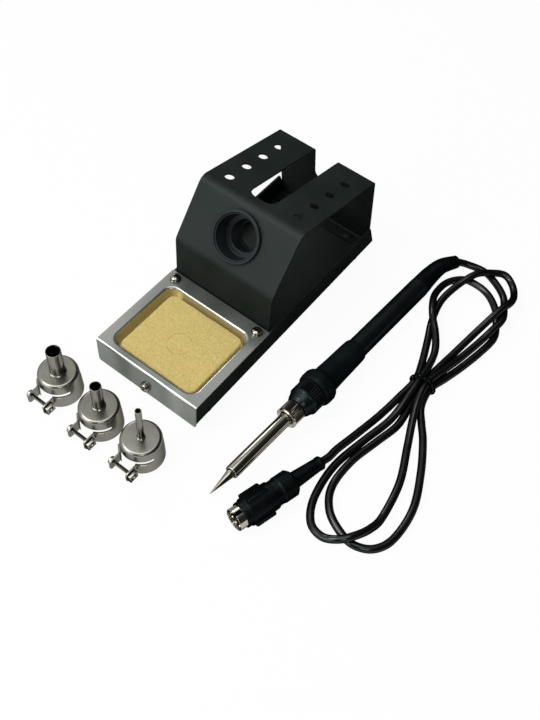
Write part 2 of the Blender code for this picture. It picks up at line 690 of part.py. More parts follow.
def make_nut(axis):
    """Knurled nut that pulls the tube's flange against the collar's nose."""
    end = NUT_FRONT + NUT_LENGTH
    shoulder = TUBE_FLANGE_END - TUBE_FLANGE - GAP
    bore, thread = TUBE_RADIUS + GAP, TUBE_RADIUS + 1.0 + GAP
    root = NUT_RADIUS - KNURL_DEPTH
    rings = [
        (NUT_FRONT, bore, bore), (NUT_FRONT, NUT_RADIUS - 0.2, NUT_RADIUS - 0.2),
        (NUT_FRONT + 0.4, NUT_RADIUS + 0.2, NUT_RADIUS + 0.2), (NUT_FRONT + 1.1, NUT_RADIUS + 0.2, NUT_RADIUS + 0.2),
        (NUT_FRONT + 1.4, NUT_RADIUS, root), (end - 0.5, NUT_RADIUS, root), (end, NUT_RADIUS - 0.5, root - 0.2),
        (end, thread, thread), (shoulder, thread, thread), (shoulder, bore, bore),
    ]
    ribbed("tube_nut", rings, NUT_RIBS, POLISHED_STEEL, axis)


def make_front_collar(axis):
    """Black front collar: threaded nose inside the nut, domed front, ribbed ring, tail in the handle."""
    nose = TUBE_FLANGE_END + GAP
    thread = TUBE_RADIUS + 1.0
    dome = NUT_FRONT + NUT_LENGTH + GAP
    edge, root = COLLAR_RADIUS, COLLAR_RADIUS - 0.6
    tail = HANDLE_BORE - GAP
    bore = HEATER_RADIUS + GAP
    sections = [
        (nose, bore), (nose, thread), (dome, thread), (dome, 6.2), (dome + 1.6, 7.1), (dome + 5.2, 8.4),
        (dome + 6.2, edge), (dome + 7.4, edge), (dome + 7.8, edge, root), (dome + 11.8, edge, root),
        (dome + 12.2, edge), (COLLAR_END, edge - 0.2),
        (COLLAR_END, tail), (COLLAR_END + COLLAR_TAIL, tail), (COLLAR_END + COLLAR_TAIL, bore),
    ]
    rings = [(section[0], section[1], section[-1]) for section in sections]
    ribbed("front_collar", rings, COLLAR_RIBS, HANDLE_BLACK, axis)


def make_heater(axis):
    front, back = 24.6, COLLAR_END + COLLAR_TAIL + 2
    profile = [
        (0, front), (HEATER_RADIUS - 0.4, front), (HEATER_RADIUS, front + 0.5), (HEATER_RADIUS, back), (0, back),
    ]
    turned_back("heating_element", profile, 16, CERAMIC_WHITE, axis)


def make_grip(axis):
    inner = HANDLE_RADIUS + GAP
    edge = GRIP_FLANGE_RADIUS
    flange_end = GRIP_FRONT + GRIP_FLANGE_LENGTH
    profile = [
        (inner, GRIP_FRONT), (edge - 1.2, GRIP_FRONT), (edge - 0.3, GRIP_FRONT + 0.8), (edge, GRIP_FRONT + 2.2),
        (edge, flange_end - 3.4), (edge - 0.5, flange_end - 2.0), (edge - 2.0, flange_end - 0.5),
        (GRIP_RADIUS, flange_end + 0.6), (GRIP_RADIUS - 0.6, GRIP_END - 4.5), (GRIP_RADIUS - 0.7, GRIP_END - 1.6),
        (inner + 0.5, GRIP_END), (inner, GRIP_END),
    ]
    turned_back("grip_sleeve", profile, 28, HANDLE_BLACK, axis)


def make_handle(axis):
    front = COLLAR_END + 2 * GAP
    profile = [
        (HANDLE_BORE, front), (HANDLE_RADIUS, front), (HANDLE_RADIUS, GRIP_END + 20),
        (HANDLE_RADIUS - 0.15, HANDLE_END - 0.5), (HANDLE_RADIUS - 0.5, HANDLE_END), (HANDLE_BORE, HANDLE_END),
    ]
    turned_back("handle_tube", profile, 28, HANDLE_BLACK, axis)
    board = HANDLE_BORE * 0.8
    half = BOARD_THICKNESS / 2
    box("terminal_board", (-board, -half, BOARD_FRONT), (board, half, BOARD_FRONT + BOARD_LENGTH), BOARD_GREEN, axis)


# Cord, with the strain relief at each end

TIE_X = 150.7
TIE_Y = 101.0
TIE_RADIUS = 0.65
STRAND_PITCH = 4.7              # three strands lie side by side in the tie, two on top of them
LOW_STRAND = 3.8
HIGH_STRAND = 7.9

CORD_ROUTE = (
    # out of the handle and over the top right
    (119.7, 191.5, 4.4), (125.5, 195, 3.0), (136, 197.5, 2.2), (146, 194, 2.2), (155, 187.5, 2.6),
    (160, 179, 3.6), (164, 167.5, 7.7), (163, 157, 7.0), (161, 146, 4.6), (158, 130, 4.0), (155.3, 115, 6.4),
    # through the tie and round the smaller lower loop
    (TIE_X + STRAND_PITCH / 2, TIE_Y, HIGH_STRAND), (154.6, 89, 6.9), (159, 77, 4.4), (165.5, 62, 2.2), (173.5, 42, 2.2), (177, 20.5, 2.2),
    (176, 10, 4.6), (172.5, 0.5, 8.0), (167, -6, 7.2), (159, -8.5, 3.8), (150, -5, 2.2), (143.5, 7, 2.2),
    (141, 28, 2.2), (144.5, 50, 2.2), (149, 70, 3.6), (149.3, 86, 6.7),
    # through the tie and round the inner upper loop
    (TIE_X - STRAND_PITCH / 2, TIE_Y, HIGH_STRAND), (147, 114, 6.4), (144, 125, 5.6), (138, 134.5, 6.6), (131.5, 142, 7.6), (125.5, 152, 6.4),
    (122, 163, 3.2), (123, 175, 2.2), (129.5, 183.5, 2.2), (139, 185, 2.2), (148, 182.5, 2.2), (156.5, 175.5, 2.2),
    (162, 166.5, 2.2), (166, 156, 2.2), (164.5, 141, 2.2), (161.5, 126, 2.2), (158.3, 113, 2.8),
    # through the tie and round the larger lower loop
    (TIE_X + STRAND_PITCH, TIE_Y, LOW_STRAND), (157.5, 89, 2.8), (163.5, 80, 2.2), (170, 71, 2.2), (179, 54.5, 2.2), (187, 34, 2.2),
    (188, 14, 2.2), (183, 3, 2.2), (173.5, -1.5, 2.2), (163.5, 0.5, 2.2), (153.5, 6.5, 2.2), (147, 18, 2.2),
    (146.5, 36, 2.2), (150.5, 55, 2.2), (153.8, 71, 2.2), (152.2, 87, 2.6),
    # through the tie and round the outer upper loop
    (TIE_X, TIE_Y, LOW_STRAND), (151.3, 114, 3.0), (153.3, 132, 2.6), (156.5, 152, 6.4), (160, 169, 11.3), (162, 179, 10.2),
    (160.5, 189, 6.2), (155, 197, 5.2), (148, 199.5, 6.4), (140.5, 194.5, 7.0), (134.5, 186.5, 8.4),
    (129.5, 174, 5.0), (127.5, 160, 2.4), (131, 144, 2.2), (136.5, 130, 2.4), (142.5, 114, 3.0),
    # through the tie and down to the plug
    (TIE_X - STRAND_PITCH, TIE_Y, LOW_STRAND), (144.8, 87, 2.8), (142.7, 70, 2.2), (139.6, 50, 4.2), (137.3, 36, 6.0),
)


def smooth_route(points, steps=6):
    """A smooth curve through the points (Catmull-Rom)."""
    ends = [points[0] * 2 - points[1]] + points + [points[-1] * 2 - points[-2]]
    curve = []
    for before, start, end, after in zip(ends, ends[1:], ends[2:], ends[3:]):
        for index in range(steps):
            t = index / steps
            curve.append(
                (start * 2 + (end - before) * t + (before * 2 - start * 5 + end * 4 - after) * t ** 2
                 + (start * 3 - before - end * 3 + after) * t ** 3) / 2
            )
    curve.append(points[-1])
    return curve


def path_length(curve):
    return sum((end - start).length for start, end in zip(curve, curve[1:]))


def evenly_spaced(curve, count):
    """The given number of points at equal distances along a curve."""
    lengths = [path_length(curve[:index + 1]) for index in range(len(curve))]
    picked = []
    segment = 0
    for index in range(count):
        wanted = lengths[-1] * index / (count - 1)
        while segment < len(curve) - 2 and lengths[segment + 1] < wanted:
            segment += 1
        share = (wanted - lengths[segment]) / (lengths[segment + 1] - lengths[segment])
        picked.append(curve[segment].lerp(curve[segment + 1], min(1.0, share)))
    return picked


def spaced_between(route, stops, count):
    """About count points along the smooth route; each stop (an index of the route) is one of them."""
    steps = 6
    curve = smooth_route(route, steps)
    marks = [0] + [stop * steps for stop in stops] + [len(curve) - 1]
    whole = path_length(curve)
    points = [curve[0]]
    for low, high in zip(marks, marks[1:]):
        section = curve[low:high + 1]
        pieces = max(1, round((count - 1) * path_length(section) / whole))
        points += evenly_spaced(section, pieces + 1)[1:]
    return points


def swept(name, points, radii, finish, resolution, parent=layout, closed=False):
    """A round wire along points, each with its own radius; its ends are capped."""
    data = bpy.data.curves.new(name, "CURVE")
    data.dimensions = "3D"
    data.bevel_depth = MM
    data.bevel_resolution = resolution
    data.use_fill_caps = True
    spline = data.splines.new("POLY")
    spline.points.add(len(points) - 1)
    for spot, point, radius in zip(spline.points, points, radii):
        spot.co = (*(Vector(point) * MM), 1.0)
        spot.radius = radius
    spline.use_cyclic_u = closed
    data.materials.append(material(finish))
    obj = bpy.data.objects.new(name, data)
    obj.parent = parent
    parts.objects.link(obj)
    return obj


def plug_line():
    """The middle of the plug's mouth and the direction to its cord: collar and body rest on the table."""
    rear = PLUG_BODY_END - 1.6
    drop = (PLUG_COLLAR_RADIUS - PLUG_GRIP_RADIUS) / (rear - PLUG_COLLAR_END)
    level = sqrt(1 - drop ** 2)
    height = PLUG_COLLAR_RADIUS * level + PLUG_COLLAR_END * drop
    heading = radians(PLUG_HEADING)
    return Vector((PLUG_X, PLUG_Y, height)), Vector((cos(heading) * level, sin(heading) * level, -drop))


def make_cord():
    mouth, ahead = plug_line()
    end = mouth + ahead * (PLUG_RELIEF_END + GAP)
    route = [Vector(point) for point in CORD_ROUTE] + [end + ahead * 5, end]
    stops = [index for index, point in enumerate(route) if point.y == TIE_Y]
    points = spaced_between(route, stops, CORD_POINTS)
    for point in points:
        point.z = max(point.z, CORD_RADIUS)
    swept("iron_cord", points, [CORD_RADIUS] * len(points), CORD_BLACK, 2)


def make_handle_relief():
    """Curved, tapered and ribbed boot between the handle and the cord."""
    tip, axis = iron_line()
    stub = tip + axis * (HANDLE_END - 6)
    mouth = tip + axis * (HANDLE_END + GAP)
    exit_point = Vector(CORD_ROUTE[0])
    outward = (Vector(CORD_ROUTE[1]) - exit_point).normalized()
    last = exit_point - outward * GAP
    bends = [stub, mouth, mouth + axis * 9, last - outward * 9, last]
    middle = smooth_route(bends[1:], 12)
    spine = evenly_spaced(middle, RELIEF_RIBS * 4 + 1)
    points, radii = [stub, mouth - axis * 0.02], [RELIEF_STUB] * 2
    first, last = HANDLE_RADIUS - 0.3, CORD_RADIUS + 1.4
    for index, point in enumerate(spine):
        share = index / (len(spine) - 1)
        grooved = index % 4 == 3 and index > 6
        points.append(point)
        radii.append(first + (last - first) * share - (0.6 if grooved else 0.0))
    swept("handle_strain_relief", points, radii, RUBBER_BLACK, 3)


def make_tie():
    """Band pulled tight round the five strands."""
    strands = (
        (-STRAND_PITCH, LOW_STRAND), (STRAND_PITCH, LOW_STRAND),
        (STRAND_PITCH / 2, HIGH_STRAND), (-STRAND_PITCH / 2, HIGH_STRAND),
    )
    reach = CORD_RADIUS + GAP + TIE_RADIUS
    points = []
    for index, (x, z) in enumerate(strands):
        before, after = strands[index - 1], strands[(index + 1) % 4]
        start = atan2(x - before[0], -(z - before[1])) - pi
        end = atan2(after[0] - x, -(after[1] - z)) - pi
        while end < start:
            end += 2 * pi
        for step in range(4):
            angle = start + (end - start) * step / 3
            points.append((TIE_X + x - reach * sin(angle - pi / 2), TIE_Y, z + reach * cos(angle - pi / 2)))
    swept("cord_tie", points, [TIE_RADIUS] * len(points), RUBBER_BLACK, 1, closed=True)


# Plug

def make_plug(axis):
    inner = SHELL_RADIUS - SHELL_WALL
    shell_end = 15.0
    shell = turned_back(
        "plug_shell",
        [(inner, 0.0), (SHELL_RADIUS - 0.2, 0.0), (SHELL_RADIUS, 0.3), (SHELL_RADIUS, shell_end), (inner, shell_end)],
        24, POLISHED_STEEL, axis,
    )
    key = box("plug_key_slot", (-1.1, -SHELL_RADIUS - 1, -1), (1.1, -SHELL_RADIUS + 1.5, 4.2), parent=axis)
    cut(shell, key)

    face = 5.2
    insulator = cylinder(
        "plug_insulator", inner - GAP, face, shell_end - 1, segments=24, finish=RUBBER_BLACK, parent=axis,
    )
    for index in range(PIN_COUNT):
        angle = pi * index / (PIN_COUNT - 1)
        x, y = PIN_CIRCLE * cos(angle), PIN_CIRCLE * sin(angle)
        socket = cylinder(
            "pin_hole_%d" % index, PIN_RADIUS + GAP, face - 1, shell_end, (x, y, 0), segments=8, parent=axis,
        )
        cut(insulator, socket)
        spot = frame("pin_place_%d" % (index + 1), (x, y, 0), parent=axis)
        turned_back(
            "plug_pin_%d" % (index + 1),
            [(0, 1.0), (PIN_RADIUS * 0.6, 1.15), (PIN_RADIUS, 1.7), (PIN_RADIUS, shell_end - 1.5),
             (0, shell_end - 1.5)],
            8, POLISHED_STEEL, spot,
        )

    hollow = SHELL_RADIUS + GAP
    body = PLUG_BODY_RADIUS
    grip = PLUG_GRIP_RADIUS
    outline = [(hollow, 4.4), (body, 4.4), (body, PLUG_GRIP_FRONT - 1.0), (grip, PLUG_GRIP_FRONT)]
    for index in range(4):
        start = PLUG_GRIP_FRONT + 0.8 + index * 1.5
        outline += [(grip, start), (grip - 0.45, start + 0.4), (grip, start + 0.8)]
    outline += [
        (grip, PLUG_BODY_END - 1.6), (grip - 1.4, PLUG_BODY_END), (RELIEF_STUB + GAP, PLUG_BODY_END),
        (RELIEF_STUB + GAP, PLUG_BODY_END - 6), (0, PLUG_BODY_END - 6), (0, shell_end + GAP),
        (hollow, shell_end + GAP),
    ]
    turned_back("plug_body", outline, 24, RUBBER_BLACK, axis)

    bore = body + GAP
    collar = turned_back(
        "plug_collar",
        [(bore, PLUG_COLLAR_FRONT), (PLUG_COLLAR_RADIUS - 0.5, PLUG_COLLAR_FRONT),
         (PLUG_COLLAR_RADIUS, PLUG_COLLAR_FRONT + 0.8), (PLUG_COLLAR_RADIUS, PLUG_COLLAR_END - 0.4),
         (PLUG_COLLAR_RADIUS - 0.3, PLUG_COLLAR_END), (bore, PLUG_COLLAR_END)],
        24, HANDLE_BLACK, axis,
    )
    for index in range(2):
        wing = box(
            "plug_wing_%d" % index, (bore + 0.3, -PLUG_WING_WIDTH / 2, PLUG_COLLAR_FRONT + 1.4),
            (PLUG_WING_RADIUS, PLUG_WING_WIDTH / 2, PLUG_WING_END), parent=axis,
        )
        wing.rotation_euler = (0, 0, radians(PLUG_WING_ROLL) + pi * index)
        cut(collar, wing, "UNION")


def make_plug_relief(axis):
    """Ribbed boot behind the plug, straight, tapering to the cord."""
    start, end = PLUG_BODY_END + GAP, PLUG_RELIEF_END
    first, last = 4.3, CORD_RADIUS + 0.75
    profile = [(0, PLUG_BODY_END - 5.5), (RELIEF_STUB, PLUG_BODY_END - 5.5), (RELIEF_STUB, start)]
    pitch = (end - start) / RELIEF_RIBS
    for index in range(RELIEF_RIBS):
        near = start + index * pitch
        radius = first + (last - first) * index / (RELIEF_RIBS - 1)
        profile += [(radius, near + 0.05), (radius, near + pitch * 0.65), (radius - 0.5, near + pitch * 0.85)]
    profile += [(last - 0.3, end), (0, end)]
    turned_back("plug_strain_relief", profile, 14, RUBBER_BLACK, axis)


# Nozzles

def wall_radius(height):
    """Outer radius of a nozzle cup: it flares a little towards its foot."""
    return CUP_FOOT_RADIUS + (CUP_TOP_RADIUS + 0.2 - CUP_FOOT_RADIUS) * height / CUP_HEIGHT


def make_cup(name, spot, outlet):
    top, hole = CUP_HEIGHT, outlet + GAP
    inner_top = top - CUP_WALL
    profile = [
        (hole, top), (CUP_TOP_RADIUS - 0.9, top), (CUP_TOP_RADIUS - 0.1, top - 0.5),
        (CUP_TOP_RADIUS + 0.1, top - 1.3), (CUP_FOOT_RADIUS, 0.0), (CUP_FOOT_RADIUS - CUP_WALL, 0.0),
        (CUP_TOP_RADIUS - CUP_WALL, inner_top - 0.6), (CUP_TOP_RADIUS - CUP_WALL - 0.6, inner_top), (hole, inner_top),
    ]
    cup = turned(name + "_cup", profile, 28, NOZZLE_STEEL, spot)

    # clamp band: open at the front, parted from the cup by a slit
    opening = box(name + "_gap", (-CLAMP_GAP_LEFT, -CUP_FOOT_RADIUS - 3, -1), (CLAMP_GAP_RIGHT, -6, CLAMP_SLIT_Z),
                  parent=spot)
    cut(cup, opening)
    slit = box(name + "_slit", (-CUP_FOOT_RADIUS - 2, -CUP_FOOT_RADIUS - 2, CLAMP_SLIT_Z - 0.01),
               (CUP_FOOT_RADIUS * 0.92, -CUP_FOOT_RADIUS * 0.18, CLAMP_SLIT_Z + CLAMP_SLIT), parent=spot)
    cut(cup, slit)

    # ears: the ends of the band are bent outwards
    root = sqrt((CUP_FOOT_RADIUS - CUP_WALL * 0.6) ** 2 - CLAMP_GAP_LEFT ** 2)
    for side, low, high in (
        ("left", -CLAMP_GAP_LEFT - EAR_WALL, -CLAMP_GAP_LEFT),
        ("right", CLAMP_GAP_RIGHT, CLAMP_GAP_RIGHT + EAR_WALL),
    ):
        ear = box(name + "_ear_" + side, (low, -EAR_REACH, EAR_LOW), (high, -root, CLAMP_SLIT_Z - 0.2), parent=spot)
        cut(cup, ear, "UNION")
    cut(cup, cylinder(name + "_ear_hole", CLAMP_SCREW_RADIUS + GAP, -10, 10,
                      (0, -CLAMP_SCREW_Y, CLAMP_SCREW_Z), axis="X", segments=14, parent=spot))


def make_outlet(name, spot, outlet, mouth):
    """Straight outlet tube, flanged under the cup's top."""
    bore = outlet - OUTLET_WALL
    seat = CUP_HEIGHT - CUP_WALL - GAP
    profile = [
        (bore, mouth), (outlet, mouth), (outlet, seat), (outlet + 1.2, seat), (outlet + 1.2, seat - 0.7),
        (bore, seat - 0.7),
    ]
    turned(name + "_outlet", profile, 20, NOZZLE_STEEL, spot)


def make_clamp(name, spot):
    head_side = -CLAMP_GAP_LEFT - EAR_WALL - GAP
    nut_side = CLAMP_GAP_RIGHT + EAR_WALL + GAP
    line = frame(name + "_screw_line", (0, -CLAMP_SCREW_Y, CLAMP_SCREW_Z), Matrix.Rotation(-pi / 2, 3, "Y"), spot)
    profile = [
        (0, -head_side + 1.9), (CLAMP_HEAD_RADIUS - 0.4, -head_side + 1.9), (CLAMP_HEAD_RADIUS, -head_side + 1.5),
        (CLAMP_HEAD_RADIUS, -head_side), (CLAMP_SCREW_RADIUS, -head_side), (CLAMP_SCREW_RADIUS, -nut_side - 2.6),
        (0, -nut_side - 2.6),
    ]
    screw = turned(name + "_clamp_screw", profile, 12, SCREW_STEEL, line)
    cut(screw, box(name + "_screw_slot", (-4, -0.35, -head_side + 1.1), (4, 0.35, -head_side + 3), parent=line))

    half = 2.4
    nut = box(name + "_clamp_nut", (nut_side, -half, -half), (nut_side + 1.9, half, half), SCREW_STEEL, spot)
    nut.location = (0, -CLAMP_SCREW_Y * MM, CLAMP_SCREW_Z * MM)
    cut(nut, cylinder(name + "_nut_bore", CLAMP_SCREW_RADIUS + GAP, -2, 14,
                      (0, -CLAMP_SCREW_Y, CLAMP_SCREW_Z), axis="X", segments=12, parent=spot))


def make_nozzles():
    for name, x, y, outlet, mouth in NOZZLES:
        spot = frame(name + "_place", (x, y, 0))
        make_cup(name, spot, outlet)
        make_outlet(name, spot, outlet, mouth)
        make_clamp(name, spot)


def centre_layout():
    """Move the layout so that the box of all but the cord and its plug is centred on X and Y."""
    bpy.context.view_layer.update()
    graph = bpy.context.evaluated_depsgraph_get()
    low, high = Vector((1, 1)), Vector((-1, -1))
    for obj in parts.objects:
        if obj.type == "EMPTY" or obj.name.startswith(("iron_cord", "cord_", "plug_")):
            continue
        shown = obj.evaluated_get(graph)
        for vert in shown.to_mesh().vertices:
            spot = shown.matrix_world @ vert.co
            low = Vector((min(low.x, spot.x), min(low.y, spot.y)))
            high = Vector((max(high.x, spot.x), max(high.y, spot.y)))
        shown.to_mesh_clear()
    layout.location = (-(low.x + high.x) / 2, -(low.y + high.y) / 2, 0.0)


bush_axis = bush_frame()
make_base()
make_cover(bush_axis)
make_rivets()
make_feet()
make_bush(bush_axis)
make_tray()
make_tray_screws()
make_sponge()

tip_point, iron_direction = iron_line()
iron_axis = frame("iron_axis", tip_point, level_turn(iron_direction))
make_tip(iron_axis)
make_tip_tube(iron_axis)
make_nut(iron_axis)
make_front_collar(iron_axis)
make_heater(iron_axis)
make_grip(iron_axis)
make_handle(iron_axis)
make_handle_relief()
make_cord()
make_tie()

plug_mouth, plug_direction = plug_line()
plug_axis = frame("plug_axis", plug_mouth, level_turn(plug_direction))
make_plug(plug_axis)
make_plug_relief(plug_axis)
make_nozzles()
centre_layout()
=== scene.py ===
import math

import bmesh
import bpy
from mathutils import Matrix, Vector


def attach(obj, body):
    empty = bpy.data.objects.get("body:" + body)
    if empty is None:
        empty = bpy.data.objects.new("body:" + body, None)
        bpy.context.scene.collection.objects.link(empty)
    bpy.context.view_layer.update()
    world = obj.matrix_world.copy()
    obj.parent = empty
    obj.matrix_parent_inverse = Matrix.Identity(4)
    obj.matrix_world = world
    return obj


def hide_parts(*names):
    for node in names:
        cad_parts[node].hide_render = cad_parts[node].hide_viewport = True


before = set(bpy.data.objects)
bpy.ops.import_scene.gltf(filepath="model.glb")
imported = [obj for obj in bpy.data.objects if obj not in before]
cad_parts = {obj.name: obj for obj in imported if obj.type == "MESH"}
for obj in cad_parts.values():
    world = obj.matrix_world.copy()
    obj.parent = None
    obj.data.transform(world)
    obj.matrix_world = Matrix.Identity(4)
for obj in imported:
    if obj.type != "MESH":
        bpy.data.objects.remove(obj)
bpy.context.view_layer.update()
print("frame loaded,", len(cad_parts), "nodes")

mm = 0.001
layout = Vector((-52.875, -73.997, 0))  # the stand's front left corner in the shared frame, in mm
upright = Vector((0, 0, 1))


def at(x, y, z):  # stand millimetres to the shared frame
    return (Vector((x, y, z)) + layout) * mm


def leaveEdit():
    bpy.ops.object.mode_set(mode="OBJECT")


def deselect():
    if bpy.context.mode != "OBJECT":
        leaveEdit()
    bpy.ops.object.select_all(action="DESELECT")


def pick(piece):
    deselect()
    piece.select_set(True)
    bpy.context.view_layer.objects.active = piece
    return piece


# camera, fitted to the photograph

photoView = {
    "place": (0.17291, -0.25537, 0.42340), "turn": (0.59362, -0.05886, 0.65410), "lens": 44.94,
    "shift": (0.00476, -0.00137),
}

deselect()
bpy.ops.object.camera_add(location=photoView["place"], rotation=photoView["turn"])
camera = bpy.context.object
camera.name = "photoCamera"
camera.data.sensor_fit = "VERTICAL"
camera.data.sensor_height = 36
camera.data.lens = photoView["lens"]
camera.data.shift_x, camera.data.shift_y = photoView["shift"]
camera.data.clip_start = 0.01
bpy.context.scene.camera = camera
print("camera ready")

# cord: from the iron's relief to the plug's, in stand millimetres, five strands through the tie

cordPlan = {
    "radius": 2.2, "length": 1.100, "tieX": 150.7, "tieY": 101.0,
    "route": [
        (119.7, 191.5, 4.4), (125.5, 195, 3.0), (136, 197.5, 2.2), (146, 194, 2.2), (155, 187.5, 2.6),
        (160, 179, 3.6), (164, 167.5, 7.7), (163, 157, 7.0), (161, 146, 4.6), (158, 130, 4.0),
        (155.3, 115, 6.4),
        (153.05, 101, 7.9), (154.6, 89, 6.9), (159, 77, 4.4), (165.5, 62, 2.2), (173.5, 42, 2.2),
        (177, 20.5, 2.2), (176, 10, 4.6), (172.5, 0.5, 8.0), (167, -6, 7.2), (159, -8.5, 3.8), (150, -5, 2.2),
        (143.5, 7, 2.2), (141, 28, 2.2), (144.5, 50, 2.2), (149, 70, 3.6), (149.3, 86, 6.7),
        (148.35, 101, 7.9), (147, 114, 6.4), (144, 125, 5.6), (138, 134.5, 6.6), (131.5, 142, 7.6),
        (125.5, 152, 6.4), (122, 163, 3.2), (123, 175, 2.2), (129.5, 183.5, 2.2), (139, 185, 2.2),
        (148, 182.5, 2.2), (156.5, 175.5, 2.2), (162, 166.5, 2.2), (166, 156, 2.2), (164.5, 141, 2.2),
        (161.5, 126, 2.2), (158.3, 113, 2.8),
        (155.4, 101, 3.8), (157.5, 89, 2.8), (163.5, 80, 2.2), (170, 71, 2.2), (179, 54.5, 2.2),
        (187, 34, 2.2), (188, 14, 2.2), (183, 3, 2.2), (173.5, -1.5, 2.2), (163.5, 0.5, 2.2),
        (153.5, 6.5, 2.2), (147, 18, 2.2), (146.5, 36, 2.2), (150.5, 55, 2.2), (153.8, 71, 2.2),
        (152.2, 87, 2.6),
        (150.7, 101, 3.8), (151.3, 114, 3.0), (153.3, 132, 2.6), (156.5, 152, 6.4), (160, 169, 11.3),
        (162, 179, 10.2), (160.5, 189, 6.2), (155, 197, 5.2), (148, 199.5, 6.4), (140.5, 194.5, 7.0),
        (134.5, 186.5, 8.4), (129.5, 174, 5.0), (127.5, 160, 2.4), (131, 144, 2.2), (136.5, 130, 2.4),
        (142.5, 114, 3.0),
        (146, 101, 3.8), (144.8, 87, 2.8), (142.7, 70, 2.2), (139.6, 50, 4.2), (137.3, 36, 6.0),
    ],
}


def smoothLine(points, steps):  # Catmull-Rom
    ends = [points[0] * 2 - points[1]] + points + [points[-1] * 2 - points[-2]]
    line = []
    for before, start, end, after in zip(ends, ends[1:], ends[2:], ends[3:]):
        for index in range(steps):
            t = index / steps
            line.append((start * 2 + (end - before) * t + (before * 2 - start * 5 + end * 4 - after) * t ** 2
                         + (start * 3 - before - end * 3 + after) * t ** 3) / 2)
    line.append(points[-1].copy())
    return line


def wire(name, points, radii, resolution=5, closed=False):  # points in metres, radii in mm
    data = bpy.data.curves.new(name, "CURVE")
    data.dimensions = "3D"
    data.bevel_depth = mm
    data.bevel_resolution = resolution
    data.use_fill_caps = True
    spline = data.splines.new("POLY")
    spline.points.add(len(points) - 1)
    for spot, point, radius in zip(spline.points, points, radii):
        spot.co = (*point, 1)
        spot.radius = radius
    spline.use_cyclic_u = closed
    spline.use_smooth = True
    piece = bpy.data.objects.new(name, data)
    bpy.context.scene.collection.objects.link(piece)
    return piece


# where the plug's mouth and the iron's point lie, and which way each runs from there
plugMouth = Vector((0.068125, -0.105197, 0.008993))
plugAhead = Vector((0.25185, 0.966869, -0.041667)).normalized()
ironPoint = Vector((0.051325, -0.103497, 0.014405))
ironAhead = Vector((0.044875, 0.998083, -0.042625)).normalized()

cordEnd = plugMouth + plugAhead * 57.7 * mm
cordPoints = [at(*point) for point in cordPlan["route"]] + [cordEnd + plugAhead * 5 * mm, cordEnd]
cordLine = smoothLine(cordPoints, 8)
for point in cordLine:
    point.z = max(point.z, cordPlan["radius"] * mm)
cord = wire("coiledCord", cordLine, [cordPlan["radius"]] * len(cordLine), 6)
print("cord laid")

# modelling steps


def selectAll():
    bpy.ops.mesh.select_all(action="SELECT")


def evenNormals():
    selectAll()
    bpy.ops.mesh.normals_make_consistent(inside=False)


def faceOutward(piece, spot, outward):  # evens the normals, outwards at a spot in mm, and leaves edit mode
    evenNormals()
    faces = bmesh.from_edit_mesh(piece.data).faces
    nearest = min(faces, key=lambda face: (face.calc_center_median() - Vector(spot) * mm).length)
    if nearest.normal.dot(Vector(outward)) < 0:
        bpy.ops.mesh.flip_normals()
    leaveEdit()


def bevelBy(width, segments, affect="VERTICES"):  # in mm
    bpy.ops.mesh.bevel(offset=width * mm, segments=segments, affect=affect)


def resize(factors, centre):
    bpy.ops.transform.resize(value=factors, center_override=centre)


def fromAxis(vert):  # in mm
    return math.hypot(vert.co.x, vert.co.y) / mm


def drawOut(reach):  # in mm
    bpy.ops.mesh.extrude_region_move(TRANSFORM_OT_translate={"value": Vector(reach) * mm})


def drawLine(name, points):  # one vertex, drawn out from point to point; stays in edit mode, all selected
    deselect()
    bpy.ops.mesh.primitive_plane_add(size=mm, location=(0, 0, 0))
    piece = bpy.context.object
    piece.name = piece.data.name = name
    bpy.ops.object.mode_set(mode="EDIT")
    bpy.ops.mesh.select_mode(type="VERT")
    selectAll()
    bpy.ops.mesh.merge(type="CENTER")
    bpy.ops.transform.translate(value=points[0])
    for start, end in zip(points, points[1:]):
        bpy.ops.mesh.extrude_region_move(TRANSFORM_OT_translate={"value": end - start})
    selectAll()
    return piece


def roundCorners(corners, closed=False, steps=4):  # (a, b, rounding) corners to (a, b) points
    points = []
    for index, corner in enumerate(corners):
        here = Vector(corner[:2])
        rounding = corner[2] if len(corner) > 2 else 0
        if not rounding or (not closed and index in (0, len(corners) - 1)):
            points.append(here)
            continue
        back = (Vector(corners[index - 1][:2]) - here).normalized()
        on = (Vector(corners[(index + 1) % len(corners)][:2]) - here).normalized()
        half = back.angle(on) / 2
        middle = here + (back + on).normalized() * rounding / math.sin(half)
        reach = rounding / math.tan(half)
        start, end = here + back * reach - middle, here + on * reach - middle
        sweep = start.angle(end)
        for step in range(steps + 1):
            share = step / steps
            spoke = start * math.sin((1 - share) * sweep) + end * math.sin(share * sweep)
            points.append(middle + spoke / math.sin(sweep))
    return points


def turnPiece(name, corners, steps=72, ring=True):  # (radius, height, rounding) in mm, spun round Z
    outline = [Vector((r * mm, 0, z * mm)) for r, z in roundCorners(corners, ring)]
    if ring:
        outline.append(outline[0].copy())
    piece = drawLine(name, outline)
    bpy.ops.mesh.spin(steps=steps, angle=2 * math.pi, center=(0, 0, 0), axis=upright)
    closeDoubles()
    leaveEdit()
    return piece


def closeDoubles():
    selectAll()
    bpy.ops.mesh.remove_doubles(threshold=1e-6)
    evenNormals()


def edit(piece):
    pick(piece)
    bpy.ops.object.mode_set(mode="EDIT")


def selectWhere(piece, kind, test):  # in edit mode: selects what passes the test and nothing else
    bpy.ops.mesh.select_mode(type=kind)
    bpy.ops.mesh.select_all(action="DESELECT")
    mesh = bmesh.from_edit_mesh(piece.data)
    for part in {"VERT": mesh.verts, "EDGE": mesh.edges, "FACE": mesh.faces}[kind]:
        if test(part):
            part.select_set(True)
    mesh.select_flush_mode()
    bmesh.update_edit_mesh(piece.data)


